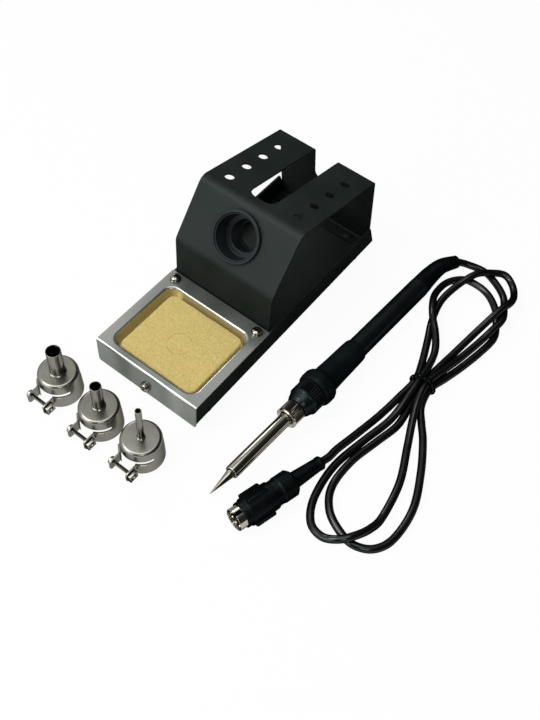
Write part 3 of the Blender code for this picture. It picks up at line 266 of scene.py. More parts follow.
def rib(piece, ribs, low, high, innerRadius, depth):  # V grooves in mm round Z, four columns to a rib
    edit(piece)

    def inGroove(vert, half):
        column = round(math.atan2(vert.co.y, vert.co.x) / (2 * math.pi) * ribs * 4) % 4
        return low < vert.co.z / mm < high and fromAxis(vert) > innerRadius and abs(column - 2) < half

    for half in (2, 1):
        selectWhere(piece, "VERT", lambda vert: inGroove(vert, half))
        mesh = bmesh.from_edit_mesh(piece.data)
        radius = max(fromAxis(vert) for vert in mesh.verts if vert.select)
        factor = 1 - depth / 2 / radius
        resize((factor, factor, 1), (0, 0, 0))
    leaveEdit()


def modify(piece, kind, **settings):
    pick(piece)
    bpy.ops.object.modifier_add(type=kind)
    modifier = piece.modifiers[-1]
    for setting, value in settings.items():
        setattr(modifier, setting, value)
    bpy.ops.object.modifier_apply(modifier=modifier.name)


def discard(piece):
    pick(piece)
    bpy.ops.object.delete()


def combine(piece, other, operation="DIFFERENCE", **settings):  # cuts or joins, then throws the tool away
    modify(piece, "BOOLEAN", operation=operation, object=other, solver="EXACT", **settings)
    discard(other)


def soften(piece, width=0.2, segments=2, angle=32):
    modify(piece, "BEVEL", width=width * mm, segments=segments, limit_method="ANGLE",
           angle_limit=math.radians(angle))


def smooth(piece, angle=32):
    pick(piece)
    bpy.ops.object.shade_smooth_by_angle(angle=math.radians(angle))


def settle(piece, angle=32):  # smooth, with flat faces kept flat
    smooth(piece, angle)
    modify(piece, "WEIGHTED_NORMAL", keep_sharp=True, weight=50)


def thicken(piece, thickness):  # inwards, in mm
    modify(piece, "SOLIDIFY", thickness=thickness * mm, offset=-1, use_even_offset=True)


def turned(degrees, axis):
    return Matrix.Rotation(math.radians(degrees), 3, axis)


def levelTurn(ahead):  # Z ahead and X level
    level = ahead.cross(upright).normalized()
    return Matrix((level, ahead.cross(level), ahead)).transposed()


def seat(piece, place, turn=None):
    piece.matrix_world = Matrix.Translation(place) @ (turn.to_4x4() if turn else Matrix.Identity(4))
    pick(piece)
    bpy.ops.object.transform_apply(location=True, rotation=True, scale=True)
    return piece


def shift(piece):  # from plain stand millimetres into the shared frame
    return seat(piece, at(0, 0, 0))


def block(name, low, high, rounding=0, axis=2, steps=8):  # a box in mm, its edges along one axis rounded
    deselect()
    low, high = Vector(low), Vector(high)
    bpy.ops.mesh.primitive_cube_add(size=1, location=(low + high) / 2 * mm, scale=(high - low) * mm)
    piece = bpy.context.object
    piece.name = piece.data.name = name
    bpy.ops.object.transform_apply(location=True, rotation=True, scale=True)
    if rounding:
        edit(piece)
        selectWhere(piece, "EDGE", lambda edge: abs(
            (edge.verts[0].co - edge.verts[1].co).normalized()[axis]) > 0.99)
        bevelBy(rounding, steps, "EDGES")
        leaveEdit()
    return piece


def rod(name, radius, low, high, steps=48):  # a plain cutter round Z, in mm
    deselect()
    bpy.ops.mesh.primitive_cylinder_add(vertices=steps, radius=radius * mm, depth=(high - low) * mm,
                                        location=(0, 0, (low + high) / 2 * mm))
    piece = bpy.context.object
    piece.name = name
    bpy.ops.object.transform_apply(location=True, rotation=True, scale=True)
    return piece


def drill(piece, radius, depths, place, turn=None, steps=48):
    combine(piece, seat(rod("drill", radius, *depths, steps), place, turn))


def copyOf(piece, name):
    pick(piece)
    bpy.ops.object.duplicate(linked=False)
    made = bpy.context.object
    made.name = made.data.name = name
    return made


def toMesh(piece):
    pick(piece)
    bpy.ops.object.convert(target="MESH")
    edit(piece)
    closeDoubles()
    leaveEdit()
    return piece


def paintFaces(piece, slotIndex, test):
    edit(piece)
    selectWhere(piece, "FACE", test)
    piece.active_material_index = slotIndex
    bpy.ops.object.material_slot_assign()
    leaveEdit()


def finishPiece(piece, finish, slot, *nodes, body="stand_and_iron"):  # no finish: it has its own already
    if finish:
        piece.data.materials.clear()
        piece.data.materials.append(finishes[finish])
    if nodes:
        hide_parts(*nodes)
    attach(piece, body)
    return piece


def seatOn(piece, line, finish, slot, *nodes, body="stand_and_iron", angle=32):  # line: place and turn
    smooth(seat(piece, *line), angle)
    return finishPiece(piece, finish, slot, *nodes, body=body)


# finishes


def newFinish(name, colour, roughness, metallic=0.0, specular=0.5, edge=1.0):  # edge: grazing reflection
    material = bpy.data.materials.new(name)
    material.use_nodes = True
    shader = shaderOf(material)
    shader.inputs["Base Color"].default_value = (*colour, 1)
    shader.inputs["Roughness"].default_value = roughness
    shader.inputs["Metallic"].default_value = metallic
    shader.inputs["Specular IOR Level"].default_value = specular
    shader.inputs["Specular Tint"].default_value = (edge, edge, edge, 1)
    return material


def shaderOf(material):
    return material.node_tree.nodes["Principled BSDF"]


def addNode(material, kind, inputs=None, **settings):
    node = material.node_tree.nodes.new(kind)
    for setting, value in settings.items():
        setattr(node, setting, value)
    for socket, value in (inputs or {}).items():
        node.inputs[socket].default_value = value
    return node


def join(material, source, output, target, socket):
    material.node_tree.links.new(source.outputs[output], target.inputs[socket])


def maths(material, operation, *values):  # each value is a number, or a node and its output
    node = addNode(material, "ShaderNodeMath", operation=operation)
    for index, value in enumerate(values):
        if isinstance(value, tuple):
            join(material, *value, node, index)
        else:
            node.inputs[index].default_value = value
    return node


def position(material):
    return addNode(material, "ShaderNodeTexCoord")


def grain(material, scale, detail=3, stretch=(1, 1, 1), kind="ShaderNodeTexNoise"):
    mapping = addNode(material, "ShaderNodeMapping", {"Scale": stretch})
    noise = addNode(material, kind, {"Scale": scale})
    if kind == "ShaderNodeTexNoise":
        noise.inputs["Detail"].default_value = detail
    join(material, position(material), "Object", mapping, "Vector")
    join(material, mapping, "Vector", noise, "Vector")
    return noise


def flatFrom(material, centre):  # level offset from a centre
    offset = addNode(material, "ShaderNodeMapping", {
        "Location": (-centre.x, -centre.y, 0), "Scale": (1, 1, 0)})
    join(material, position(material), "Object", offset, "Vector")
    return offset


def spread(material, source, output, low, high, fromLow=0.3, fromHigh=0.7):  # a texture's value to a range
    change = addNode(material, "ShaderNodeMapRange", {
        "From Min": fromLow, "From Max": fromHigh, "To Min": low, "To Max": high})
    join(material, source, output, change, "Value")
    return change


def roughen(material, source, output, *ends):
    join(material, spread(material, source, output, *ends), "Result", shaderOf(material), "Roughness")


def bumps(material, source, output, strength, distance, under=None, **settings):
    bump = addNode(material, "ShaderNodeBump", {"Strength": strength, "Distance": distance}, **settings)
    join(material, source, output, bump, "Height")
    if under:
        join(material, under, "Normal", bump, "Normal")
    join(material, bump, "Normal", shaderOf(material), "Normal")
    return bump


def tint(material, source, dark, light, fromLow=0.3, fromHigh=0.7):  # base colour between two colours
    ramp = addNode(material, "ShaderNodeValToRGB")
    ramp.color_ramp.elements[0].position, ramp.color_ramp.elements[1].position = fromLow, fromHigh
    ramp.color_ramp.elements[0].color, ramp.color_ramp.elements[1].color = (*dark, 1), (*light, 1)
    join(material, source, "Fac", ramp, "Fac")
    join(material, ramp, "Color", shaderOf(material), "Base Color")
    return ramp


def overlay(material, mask, base, colour):  # a colour over the base colour where the mask is 1
    mix = addNode(material, "ShaderNodeMix", data_type="RGBA")
    mix.inputs[7].default_value = (*colour, 1)
    join(material, mask, "Value", mix, 0)
    join(material, base, "Color", mix, 6)
    join(material, mix, 2, shaderOf(material), "Base Color")


def mottle(material, noise, colour, roughness, shades, sheens):  # colour and roughness vary by shares
    roughen(material, noise, "Fac", *(roughness * sheen for sheen in sheens))
    tint(material, noise, *(tuple(channel * shade for channel in colour) for shade in shades))


def powderCoat():
    material = newFinish("powderCoat", (0.02, 0.021, 0.021), 0.5, 0.5, 0.0, 0.0)
    broad = grain(material, 45, 4)
    tint(material, broad, (0.0215, 0.0265, 0.0245), (0.029, 0.0345, 0.0325))
    roughen(material, broad, "Fac", 0.44, 0.56)
    bumps(material, grain(material, 1500, 4), "Fac", 0.35, 0.00006)
    return material


# painted reflection of the sponge in the well: its colour, the front edge it stops at, the heights it fades
# over, and its roughness there
spongeReflectionPaint = {
    "colour": (0.78, 0.71, 0.44), "front": 2.0, "heights": (0.0199, 0.0211), "roughness": (0.21, 0.4),
}


def sheetSteel():
    material = newFinish("sheetSteel", (0.24, 0.25, 0.235), 0.24, 0.8, 0.0, 0.12)
    bumps(material, grain(material, 30, 2), "Fac", 0.06, 0.0008)
    drawn = grain(material, 42, 1, (1, 0.25, 0.1))
    plain = tint(material, drawn, (0.25, 0.265, 0.245), (0.42, 0.435, 0.41), 0.36, 0.64)
    # painted reflection of the sponge: the sheet is made warmer and lighter down in the well, and not on the
    # front flange
    split = addNode(material, "ShaderNodeSeparateXYZ")
    join(material, position(material), "Object", split, "Vector")
    behind = maths(material, "GREATER_THAN", (split, "Y"), at(0, spongeReflectionPaint["front"], 0).y)
    deep = spread(material, split, "Z", 1, 0, *spongeReflectionPaint["heights"])
    reflectionShare = maths(material, "MULTIPLY", (behind, "Value"), (deep, "Result"))
    roughen(material, reflectionShare, "Value", *spongeReflectionPaint["roughness"], 0, 1)
    overlay(material, reflectionShare, plain, spongeReflectionPaint["colour"])
    return material


def brightSteel(name, colour, roughness, edge=0.25):
    material = newFinish(name, colour, roughness, 1.0, edge=edge)
    mottle(material, grain(material, 70, 3), colour, roughness, (0.9, 1.08), (0.9, 1.15))
    return material


def spunSteel(name, centre):  # brushed round the axis of a cup
    material = brightSteel(name, (0.26, 0.257, 0.225), 0.24)
    shaderOf(material).inputs["Anisotropic"].default_value = 0.25
    around = addNode(material, "ShaderNodeVectorMath", {1: (0, 0, 1)}, operation="CROSS_PRODUCT")
    join(material, flatFrom(material, centre), "Vector", around, 0)
    join(material, around, "Vector", shaderOf(material), "Tangent")
    return material


punchRing = {"place": (36.0, 27.4, 0), "radius": 0.0069, "edges": (0.00008, 0.00034)}


def spongeFoam():
    material = newFinish("spongeFoam", (0.62, 0.5, 0.2), 0.95, specular=0.15)
    base = tint(material, grain(material, 1000, 3), (0.49, 0.385, 0.135), (0.59, 0.475, 0.18), 0.34, 0.66)
    spots = spread(material, grain(material, 950, 3), "Fac", 1, 0, 0.3, 0.38)
    # faint ring where a plug was punched through: a groove bumped in, with painted shade darkening the colour
    # along it
    away = addNode(material, "ShaderNodeVectorMath", operation="LENGTH")
    join(material, flatFrom(material, at(*punchRing["place"])), "Vector", away, 0)
    fromRing = maths(material, "SUBTRACT", (away, "Value"), punchRing["radius"])
    near = maths(material, "ABSOLUTE", (fromRing, "Value"))
    ring = spread(material, near, "Value", 1, 0, *punchRing["edges"])
    patchy = spread(material, grain(material, 130, 2), "Fac", 0.25, 1, 0.36, 0.56)
    seen = maths(material, "MULTIPLY", (ring, "Result"), (patchy, "Result"))
    specksAndRingShade = maths(material, "MAXIMUM", (spots, "Result"), (seen, "Value"))
    # the specks, and the painted shade along the ring, darken the base colour
    overlay(material, maths(material, "MULTIPLY", (specksAndRingShade, "Value"), 0.55), base, (0.36, 0.25, 0.09))
    cells = grain(material, 1100, kind="ShaderNodeTexVoronoi")
    first = bumps(material, cells, "Distance", 0.5, 0.0002)
    second = bumps(material, grain(material, 1400, 5), "Fac", 0.6, 0.0003, first)
    bumps(material, seen, "Value", 0.6, 0.0003, second, invert=True)
    return material


def satinPlastic(name, colour, roughness, shine):  # black, shiny from above; shine is the metallic share
    material = newFinish(name, colour, roughness, shine, 0.0, 0.0)
    mottle(material, grain(material, 90, 3), colour, roughness, (0.85, 1.2), (0.85, 1.2))
    bumps(material, grain(material, 2600, 3), "Fac", 0.05, 0.00002)
    return material


finishes = {
    "coat": powderCoat(),
    "sheet": sheetSteel(),
    "bright": brightSteel("brightSteel", (0.34, 0.325, 0.27), 0.13, 0.0),
    "pin": brightSteel("pinPlate", (0.46, 0.44, 0.38), 0.15, 0.0),
    "screw": brightSteel("screwPlate", (0.32, 0.31, 0.27), 0.14, 0.0),
    # painted shade: a near black finish put in recesses, slots and bores, where shade falls
    "recessShade": satinPlastic("paintedRecessShade", (0.005, 0.005, 0.006), 0.6, 0.2),
    "sponge": spongeFoam(),
    "plastic": satinPlastic("satinPlastic", (0.02, 0.0245, 0.026), 0.3, 0.85),
    "bush": satinPlastic("bushPlastic", (0.024, 0.029, 0.03), 0.42, 0.5),
    "grip": satinPlastic("gripRubber", (0.0085, 0.012, 0.012), 0.45, 0.6),
    "rubber": satinPlastic("softRubber", (0.0105, 0.013, 0.0138), 0.34, 0.85),
    "sheath": satinPlastic("cordSheath", (0.035, 0.036, 0.037), 0.16, 0.92),
    "ceramic": satinPlastic("firedCeramic", (0.72, 0.71, 0.67), 0.5, 0.0),
    "board": satinPlastic("boardLacquer", (0.05, 0.16, 0.08), 0.4, 0.0),
}
print("finishes mixed")

# floor and light

studio = {
    "sky": 1.0, "floorWhite": 0.95, "floorSize": 6,
    "toLeft": (-0.8, -0.15, 0.58), "side": [(0.0, 0.03), (0.9, 0.8), (0.4, 0.08), (0.66, 0.52)],
    "horizon": [(0.0, 1.0), (0.16, 0.0), (0.06, 1.0)],
    "lamps": {  # place, size and power
        "topLamp": ((-0.12, -0.16, 1.0), (0.75, 0.75), 3.8),
        "lineLamp": ((-0.42, -0.5, 0.85), (0.32, 0.32), 3.6),
        "frontLamp": ((-0.35, -1.0, 0.45), (0.8, 0.5), 3.6),
        "rightLamp": ((0.5, -0.62, 0.72), (0.3, 0.3), 1.4),
        "stripeLamp": ((-0.78, 0.41, 0.6), (0.2, 0.2), 1.0),
    },
}


def makeFloor():
    deselect()
    bpy.ops.mesh.primitive_plane_add(size=studio["floorSize"], location=(0, 0, 0))
    floor = bpy.context.object
    floor.name = "paleFloor"
    material = newFinish("paleFloor", (0.8, 0.8, 0.8), 0.9, specular=0.0)
    white = addNode(material, "ShaderNodeEmission", {"Color": (1, 1, 1, 1), "Strength": 1.0})
    path = addNode(material, "ShaderNodeLightPath")
    seen = maths(material, "MAXIMUM", (path, "Is Camera Ray"), (path, "Is Glossy Ray"))
    mirrored = maths(material, "MAXIMUM", (seen, "Value"), (path, "Is Transmission Ray"))
    share = maths(material, "MULTIPLY", (mirrored, "Value"), studio["floorWhite"])
    mix = addNode(material, "ShaderNodeMixShader")
    join(material, share, "Value", mix, "Fac")
    join(material, shaderOf(material), "BSDF", mix, 1)
    join(material, white, "Emission", mix, 2)
    join(material, mix, "Shader", material.node_tree.nodes["Material Output"], "Surface")
    floor.data.materials.append(material)


def makeSky():  # dark on the right and pale on the left, with a white horizon
    world = bpy.data.worlds.new("softRoom")
    world.use_nodes = True
    bpy.context.scene.world = world
    place = addNode(world, "ShaderNodeTexCoord")
    split = addNode(world, "ShaderNodeSeparateXYZ")
    toLeft = addNode(world, "ShaderNodeVectorMath", {1: studio["toLeft"]}, operation="DOT_PRODUCT")
    join(world, place, "Generated", split, "Vector")
    join(world, place, "Generated", toLeft, 0)
    lighter = addNode(world, "ShaderNodeMix", {0: 1.0}, data_type="RGBA", blend_type="LIGHTEN")
    for source, output, stops, socket in ((toLeft, "Value", "side", 6), (split, "Z", "horizon", 7)):
        ramp = addNode(world, "ShaderNodeValToRGB")
        elements = ramp.color_ramp.elements
        for index, (place, value) in enumerate(studio[stops]):
            element = elements[index] if index < 2 else elements.new(place)
            element.position, element.color = place, (value, value, value, 1)
        join(world, source, output, ramp, "Fac")
        join(world, ramp, "Color", lighter, socket)
    back = world.node_tree.nodes["Background"]
    join(world, lighter, 2, back, "Color")
    back.inputs["Strength"].default_value = studio["sky"]


def addLamp(name, place, size, power):
    deselect()
    bpy.ops.object.light_add(type="AREA", location=place)
    lamp = bpy.context.object
    lamp.name = name
    lamp.data.shape = "RECTANGLE"
    lamp.data.size, lamp.data.size_y = size
    lamp.data.energy = power
    lamp.rotation_euler = (-Vector(place)).to_track_quat("-Z", "Y").to_euler()


makeFloor()
makeSky()
for name, (place, size, power) in studio["lamps"].items():
    addLamp(name, place, size, power)
bpy.context.scene.view_settings.view_transform = "Standard"
print("floor and lamps set")

# stand

stand = {
    "width": 70.0, "sheet": 1.2, "front": 1.1, "floor": 3.0, "wallTop": 20.4, "wallRearTop": 165.0,
    "rear": 171.0, "bend": 2.2, "side": 1.6,
    "cover": [(55.9, 5.7), (64.9, 5.7, 2.2), (64.9, 48.3, 7.0), (87.5, 79.4, 6.0), (160.2, 62.75, 3.0),
              (169.2, 4.5, 2.2), (160.2, 4.5)],
    "slotLow": 26.7, "slotHigh": 43.3, "slotFront": 95.0, "slotFoot": 38.0, "slotCorner": 5.5,
    "holeRadius": 2.75, "holeColumns": (12, 58), "holeRows": (98.3, 113.45, 128.6, 143.75),
    "weldRows": (79.5, 90.0, 143.5, 156.4), "weldHeight": 17.5,
}


def foldSheet(name, points, across, spot, outward):
    piece = drawLine(name, points)
    drawOut(across)
    faceOutward(piece, spot, outward)
    thicken(piece, stand["sheet"])
    return piece


def makeBase():
    wide, low, top, front = stand["width"], stand["floor"], stand["wallTop"], stand["front"]
    corners = [(0, top), (0, low, stand["bend"]), (wide, low, stand["bend"]), (wide, top)]
    path = [Vector((x, front, z)) * mm for x, z in roundCorners(corners, steps=6)]
    base = foldSheet("baseChannel", path, (0, stand["rear"] - front, 0), (wide / 2, 80, low), -upright)
    # the side walls' rear ends lean forward above the bend
    bendTop, wedgeTop, wedgeFront = low + stand["bend"], 30, 160
    lean = (stand["rear"] - stand["wallRearTop"]) / (top - bendTop)
    wedge = block("wedge", (-5, wedgeFront, bendTop), (wide + 5, 180, wedgeTop))
    edit(wedge)
    for height in (bendTop, wedgeTop):
        selectWhere(wedge, "VERT", lambda vert: vert.co.y < (wedgeFront + 0.5) * mm
                    and abs(vert.co.z - height * mm) < 1e-6)
        back = stand["rear"] - lean * (height - bendTop) - wedgeFront
        bpy.ops.transform.translate(value=(0, back * mm, 0))
    leaveEdit()
    combine(base, wedge)
    combine(base, block("frontTab", (25, front, 3.6), (45, front + 1.2, 13.5), 1.5, 1), "UNION")
    for left, right in ((0.6, 9.6), (60.4, 69.4)):
        combine(base, block("rearTab", (left, 56, 19.0), (right, 63, 20.2)), "UNION")
    soften(base, 0.22, 2)
    settle(base)
    shift(base)
    finishPiece(base, "coat", "black_steel", "base_channel")


bush = {
    "place": (35, 76.2, 63.85), "slope": (0, 22.6, 31.1), "hole": 13.6,
    "barrel": [(13.3, 2.1, 0.4), (14.8, 2.1, 0.6), (14.8, 0.3, 0.15), (13.3, 0.3), (13.3, -11.1, 0.4),
               (10.4, -12.1), (10.0, -19, 0.3), (7.4, -19, 0.3), (7.4, -17.4), (8.4, -17.4), (8.8, -9.5, 0.2),
               (9.4, -9.1, 0.3), (11.9, -9.1, 0.6), (12.3, 1.1, 0.3), (12.9, 1.2, 0.2)],
    "ring": [(13.6, -1.5), (15.8, -1.5, 0.2), (15.8, -4.5, 0.3), (15.0, -5.3, 0.3), (13.6, -5.3)],
}
slope = Vector(bush["slope"]).normalized()  # up the cover's sloping face
bushTurn = Matrix((Vector((1, 0, 0)), slope, Vector((0, -slope.z, slope.y)))).transposed()
bushLine = (at(*bush["place"]), bushTurn)


def makeCover():
    side = stand["side"]
    path = [Vector((side, y, z)) * mm for y, z in roundCorners(stand["cover"], steps=8)]
    cover = foldSheet("foldedCover", path, (stand["width"] - 2 * side, 0, 0), (35, 64.9, 30), (0, -1, 0))
    (crestY, crestZ), (rearY, rearZ) = (corner[:2] for corner in stand["cover"][3:5])
    left, right, corner = stand["slotLow"], stand["slotHigh"], stand["slotCorner"]
    low, high = (left, stand["slotFront"], rearZ - 10), (right, rearY + 6, crestZ + 5)
    combine(cover, block("slotTop", low, high, corner))
    low, high = (left, rearY - 8, stand["slotFoot"]), (right, rearY + 19, crestZ)
    combine(cover, block("slotRear", low, high, corner, 1))
    for x in stand["holeColumns"]:
        for y in stand["holeRows"]:
            top = crestZ - (y - crestY) * (crestZ - rearZ) / (rearY - crestY)
            drill(cover, stand["holeRadius"], (top - 6, top + 6), Vector((x, y, 0)) * mm)
    shift(cover)
    drill(cover, bush["hole"], (-6, 6), *bushLine, 72)
    soften(cover, 0.2, 2)
    settle(cover)
    finishPiece(cover, "coat", "black_steel", "upper_cover")


def makeWelds():  # flat spots where the cover's sides are welded to the base's walls
    spot = turnPiece("weldSpot", [(0, 0.14), (1.1, 0.12, 0.3), (1.7, 0.0), (1.5, -0.1), (0, -0.1)], 28, False)
    for index, y in enumerate(stand["weldRows"], start=1):
        for side, x, angle in (("Right", stand["width"], 90), ("Left", 0.0, -90)):
            weld = copyOf(spot, "weldSpot%s%d" % (side, index))
            line = (at(x, y, stand["weldHeight"]), turned(angle, "Y"))
            seatOn(weld, line, "coat", "black_steel", angle=40)
    discard(spot)


standFixings = {  # finish, slot, node, steps around, corners and places
    "coverRivet": ("coat", "black_steel", "cover_rivet", 32,
                   [(0, 7.4), (2.1, 7.1, 1.2), (3.0, 6.1, 0.2), (2.9, 6.0), (1.6, 6.0), (1.6, 3.0), (0, 3.0)],
                   ((14, 59.4), (56, 59.4), (14, 163.7), (56, 163.7))),
    "rubberFoot": ("rubber", "rubber_black", "rubber_foot", 40,
                   [(0, 2.7), (5.1, 2.7, 0.2), (5.1, 1.0, 0.5), (4.3, 0, 0.4), (2.6, 0, 0.2), (2.3, 0.6, 0.2),
                    (0, 0.6)],
                   ((6.3, 14), (63.7, 14), (6.3, 155), (63.7, 155))),
}


def makeFixings():
    for name, (finish, slot, node, steps, corners, places) in standFixings.items():
        model = turnPiece(name, corners, steps, ring=False)
        for index, (x, y) in enumerate(places, start=1):
            piece = copyOf(model, "%s%d" % (name, index))
            seatOn(piece, (at(x, y, 0),), finish, slot, "%s_%d" % (node, index))
        discard(model)


def makeBush():
    for name, corners, steps, node in (("ironRestBush", "barrel", 96, "iron_rest_bush"),
                                       ("bushRing", "ring", 72, "bush_retaining_ring")):
        seatOn(turnPiece(name, bush[corners], steps), bushLine, "bush", "handle_black", node)


makeBase()
makeCover()
makeWelds()
makeFixings()
makeBush()
print("stand built")

# sponge tray

tray = {
    "length": 63.6, "top": 21.5, "sheet": 0.8, "rearCorner": 0.6, "bend": 1.5, "flangeLow": 2.0,
    "frontCorner": 1.5, "wellLow": (5.0, 3.6), "wellHigh": (65.0, 55.6), "wellCorner": 6.5, "depth": 8.0,
    "draft": 1.0, "shoulder": 1.3, "fillet": 1.0, "steps": 8, "screwHole": 1.7,
    "screws": {  # node, place and how far the screw is turned in
        "RearLeft": ("rear_left", (5.6, 59, 21.5), 25), "RearRight": ("rear_right", (64.4, 59, 21.5), 62),
        "Front": ("front", (35, 0, 8.5), 40),
    },
    "screw": [(0, 2.85), (1.4, 2.75, 1.5), (2.6, 2.2, 0.6), (2.8, 1.4, 0.3), (2.8, 0.86), (3.2, 0.86, 0.12),
              (3.2, 0.3, 0.12), (1.4, 0.3), (1.4, -6, 0.3), (0, -6)],
    "recess": (1.45, 0.33, 1.6),
}


def screwLean(place):  # the front screw points forwards
    return turned(90, "X") if place[1] == 0 else Matrix.Identity(3)


def wellProfile():  # (across, drop) in mm: rounded shoulder, leaning wall, fillet into the floor
    shoulder, fillet = tray["shoulder"], tray["fillet"]
    wall = tray["depth"] - shoulder - fillet
    slant = tray["draft"] * wall / tray["depth"]
    profile = []
    for step in range(1, 7):
        angle = math.pi / 2 * step / 6
        profile.append((shoulder * math.sin(angle), shoulder * (1 - math.cos(angle))))
    for step in range(5):
        angle = math.pi / 2 * step / 4
        profile.append((shoulder + slant + fillet * (1 - math.cos(angle)),
                        shoulder + wall + fillet * math.sin(angle)))
    return profile


def roundedPlate(centre, sides, rounding):  # a plane in mm with rounded corners, in edit mode
    bpy.ops.mesh.select_all(action="DESELECT")
    bpy.ops.mesh.primitive_plane_add(size=1, location=centre)
    resize((sides[0] * mm, sides[1] * mm, 1), centre)
    bevelBy(rounding, tray["steps"])


def makeTray():
    wide, bend, top = stand["width"], tray["bend"], tray["top"] * mm
    low, high = Vector(tray["wellLow"]), Vector(tray["wellHigh"])
    middle, half = (low + high) / 2, (high - low) / 2
    piece = drawLine("pressedTray", [Vector()])
    bpy.ops.mesh.delete(type="VERT")
    roundedPlate(Vector((wide / 2, (bend + tray["length"]) / 2, tray["top"])) * mm,
                 (wide, tray["length"] - bend), tray["rearCorner"])
    roundedPlate(Vector((middle.x, middle.y, tray["top"])) * mm, half * 2, tray["wellCorner"])
    selectAll()
    bpy.ops.mesh.delete(type="ONLY_FACE")
    bpy.ops.mesh.select_mode(type="EDGE")
    selectAll()
    bpy.ops.mesh.bridge_edge_loops()
    for side in (0, wide * mm):  # square corners where the front flange is bent down
        corner = Vector((side, bend * mm, top))
        selectWhere(piece, "VERT", lambda vert: (vert.co - corner).length < 0.9 * mm)
        bpy.ops.mesh.merge(type="CENTER")
        merged = next(vert for vert in bmesh.from_edit_mesh(piece.data).verts if vert.select)
        bpy.ops.transform.translate(value=corner - merged.co)

    def onRim(edge):
        return edge.is_boundary and all(
            low[axis] - 0.001 < vert.co[axis] / mm < high[axis] + 0.001
            for vert in edge.verts for axis in (0, 1))

    selectWhere(piece, "EDGE", onRim)
    inward, down = 0.0, 0.0
    for across, drop in wellProfile():
        drawOut((0, 0, down - drop))
        factors = ((half.x - across) / (half.x - inward), (half.y - across) / (half.y - inward), 1)
        resize(factors, (middle.x * mm, middle.y * mm, top - drop * mm))
        inward, down = across, drop
    bpy.ops.mesh.edge_face_add()

    frontEdge = (bend + 0.05) * mm
    selectWhere(piece, "EDGE", lambda edge: edge.is_boundary and all(v.co.y < frontEdge for v in edge.verts))
    bent = (0.0, 0.0)
    for step in range(1, 7):
        angle = math.pi / 12 * step
        reach = (bend * math.sin(angle), bend * (1 - math.cos(angle)))
        drawOut((0, bent[0] - reach[0], bent[1] - reach[1]))
        bent = reach
    drawOut((0, 0, -(tray["top"] - tray["flangeLow"] - bend)))
    foot = (tray["flangeLow"] + 0.01) * mm
    selectWhere(piece, "VERT", lambda vert: vert.co.z < foot)
    bevelBy(tray["frontCorner"], 5)
    evenNormals()
    mesh = bmesh.from_edit_mesh(piece.data)
    if sum(face.normal.z * face.calc_area() for face in mesh.faces) < 0:
        bpy.ops.mesh.flip_normals()
    leaveEdit()
    thicken(piece, tray["sheet"])
    for screw in tray["screws"].values():
        drill(piece, tray["screwHole"], (-4, 4), Vector(screw[1]) * mm, screwLean(screw[1]))
    edit(piece)
    selectAll()
    bpy.ops.mesh.dissolve_limited(angle_limit=math.radians(0.5))
    leaveEdit()
    soften(piece, 0.16, 2)
    settle(piece, 30)
    shift(piece)
    finishPiece(piece, "sheet", "tray_steel", "sponge_tray")


def makeTrayScrews():
    screw = turnPiece("panScrew", tray["screw"], 48, ring=False)
    long, short, floor = tray["recess"]
    for x, y in ((long, short), (short, long)):
        combine(screw, block("recess", (-x, -y, floor), (x, y, 4)))
    soften(screw, 0.08, 1, 40)
    smooth(screw)
    screw.data.materials.append(finishes["screw"])
    # the second slot is painted shade, put on the floor and walls of the cross recess
    screw.data.materials.append(finishes["recessShade"])
    paintFaces(screw, 1, lambda face: min(v.co.z for v in face.verts) < (floor + 0.15) * mm and all(
        fromAxis(v) < long + 0.1 and v.co.z > (floor - 0.05) * mm for v in face.verts))
    for label, (node, place, angle) in tray["screws"].items():
        piece = seat(copyOf(screw, "trayScrew" + label), at(*place), screwLean(place) @ turned(angle, "Z"))
        finishPiece(piece, None, "screw_steel", "tray_screw_" + node)
    discard(screw)


sponge = {
    "low": (10.4, 6.1, 13.8), "high": (61.9, 51.7, 19.5), "corner": 4.2, "edge": 0.9, "voxel": 0.0006,
    "relief": {"broadWaves": (0.014, 0.0007), "fineCrumb": (0.0016, 0.00018)},  # size and height
}


def makeSponge():
    piece = block("pressedSponge", sponge["low"], sponge["high"], sponge["corner"], 2, 10)
    edit(piece)
    selectWhere(piece, "FACE", lambda face: abs(face.normal.z) > 0.9)
    bpy.ops.mesh.region_to_loop()
    bevelBy(sponge["edge"], 3, "EDGES")
    leaveEdit()
    modify(piece, "REMESH", mode="VOXEL", voxel_size=sponge["voxel"])
    for name, (size, height) in sponge["relief"].items():
        clouds = bpy.data.textures.new(name, "CLOUDS")
        clouds.noise_scale = size
        modify(piece, "DISPLACE", texture=clouds, texture_coords="LOCAL", strength=height, mid_level=0.5)
    smooth(piece, 60)
    shift(piece)
    finishPiece(piece, "sponge", "sponge_yellow", "sponge", body="sponge")


makeTray()
makeTrayScrews()
makeSponge()
print("tray and sponge built")

# iron: heights are millimetres from the point of the tip

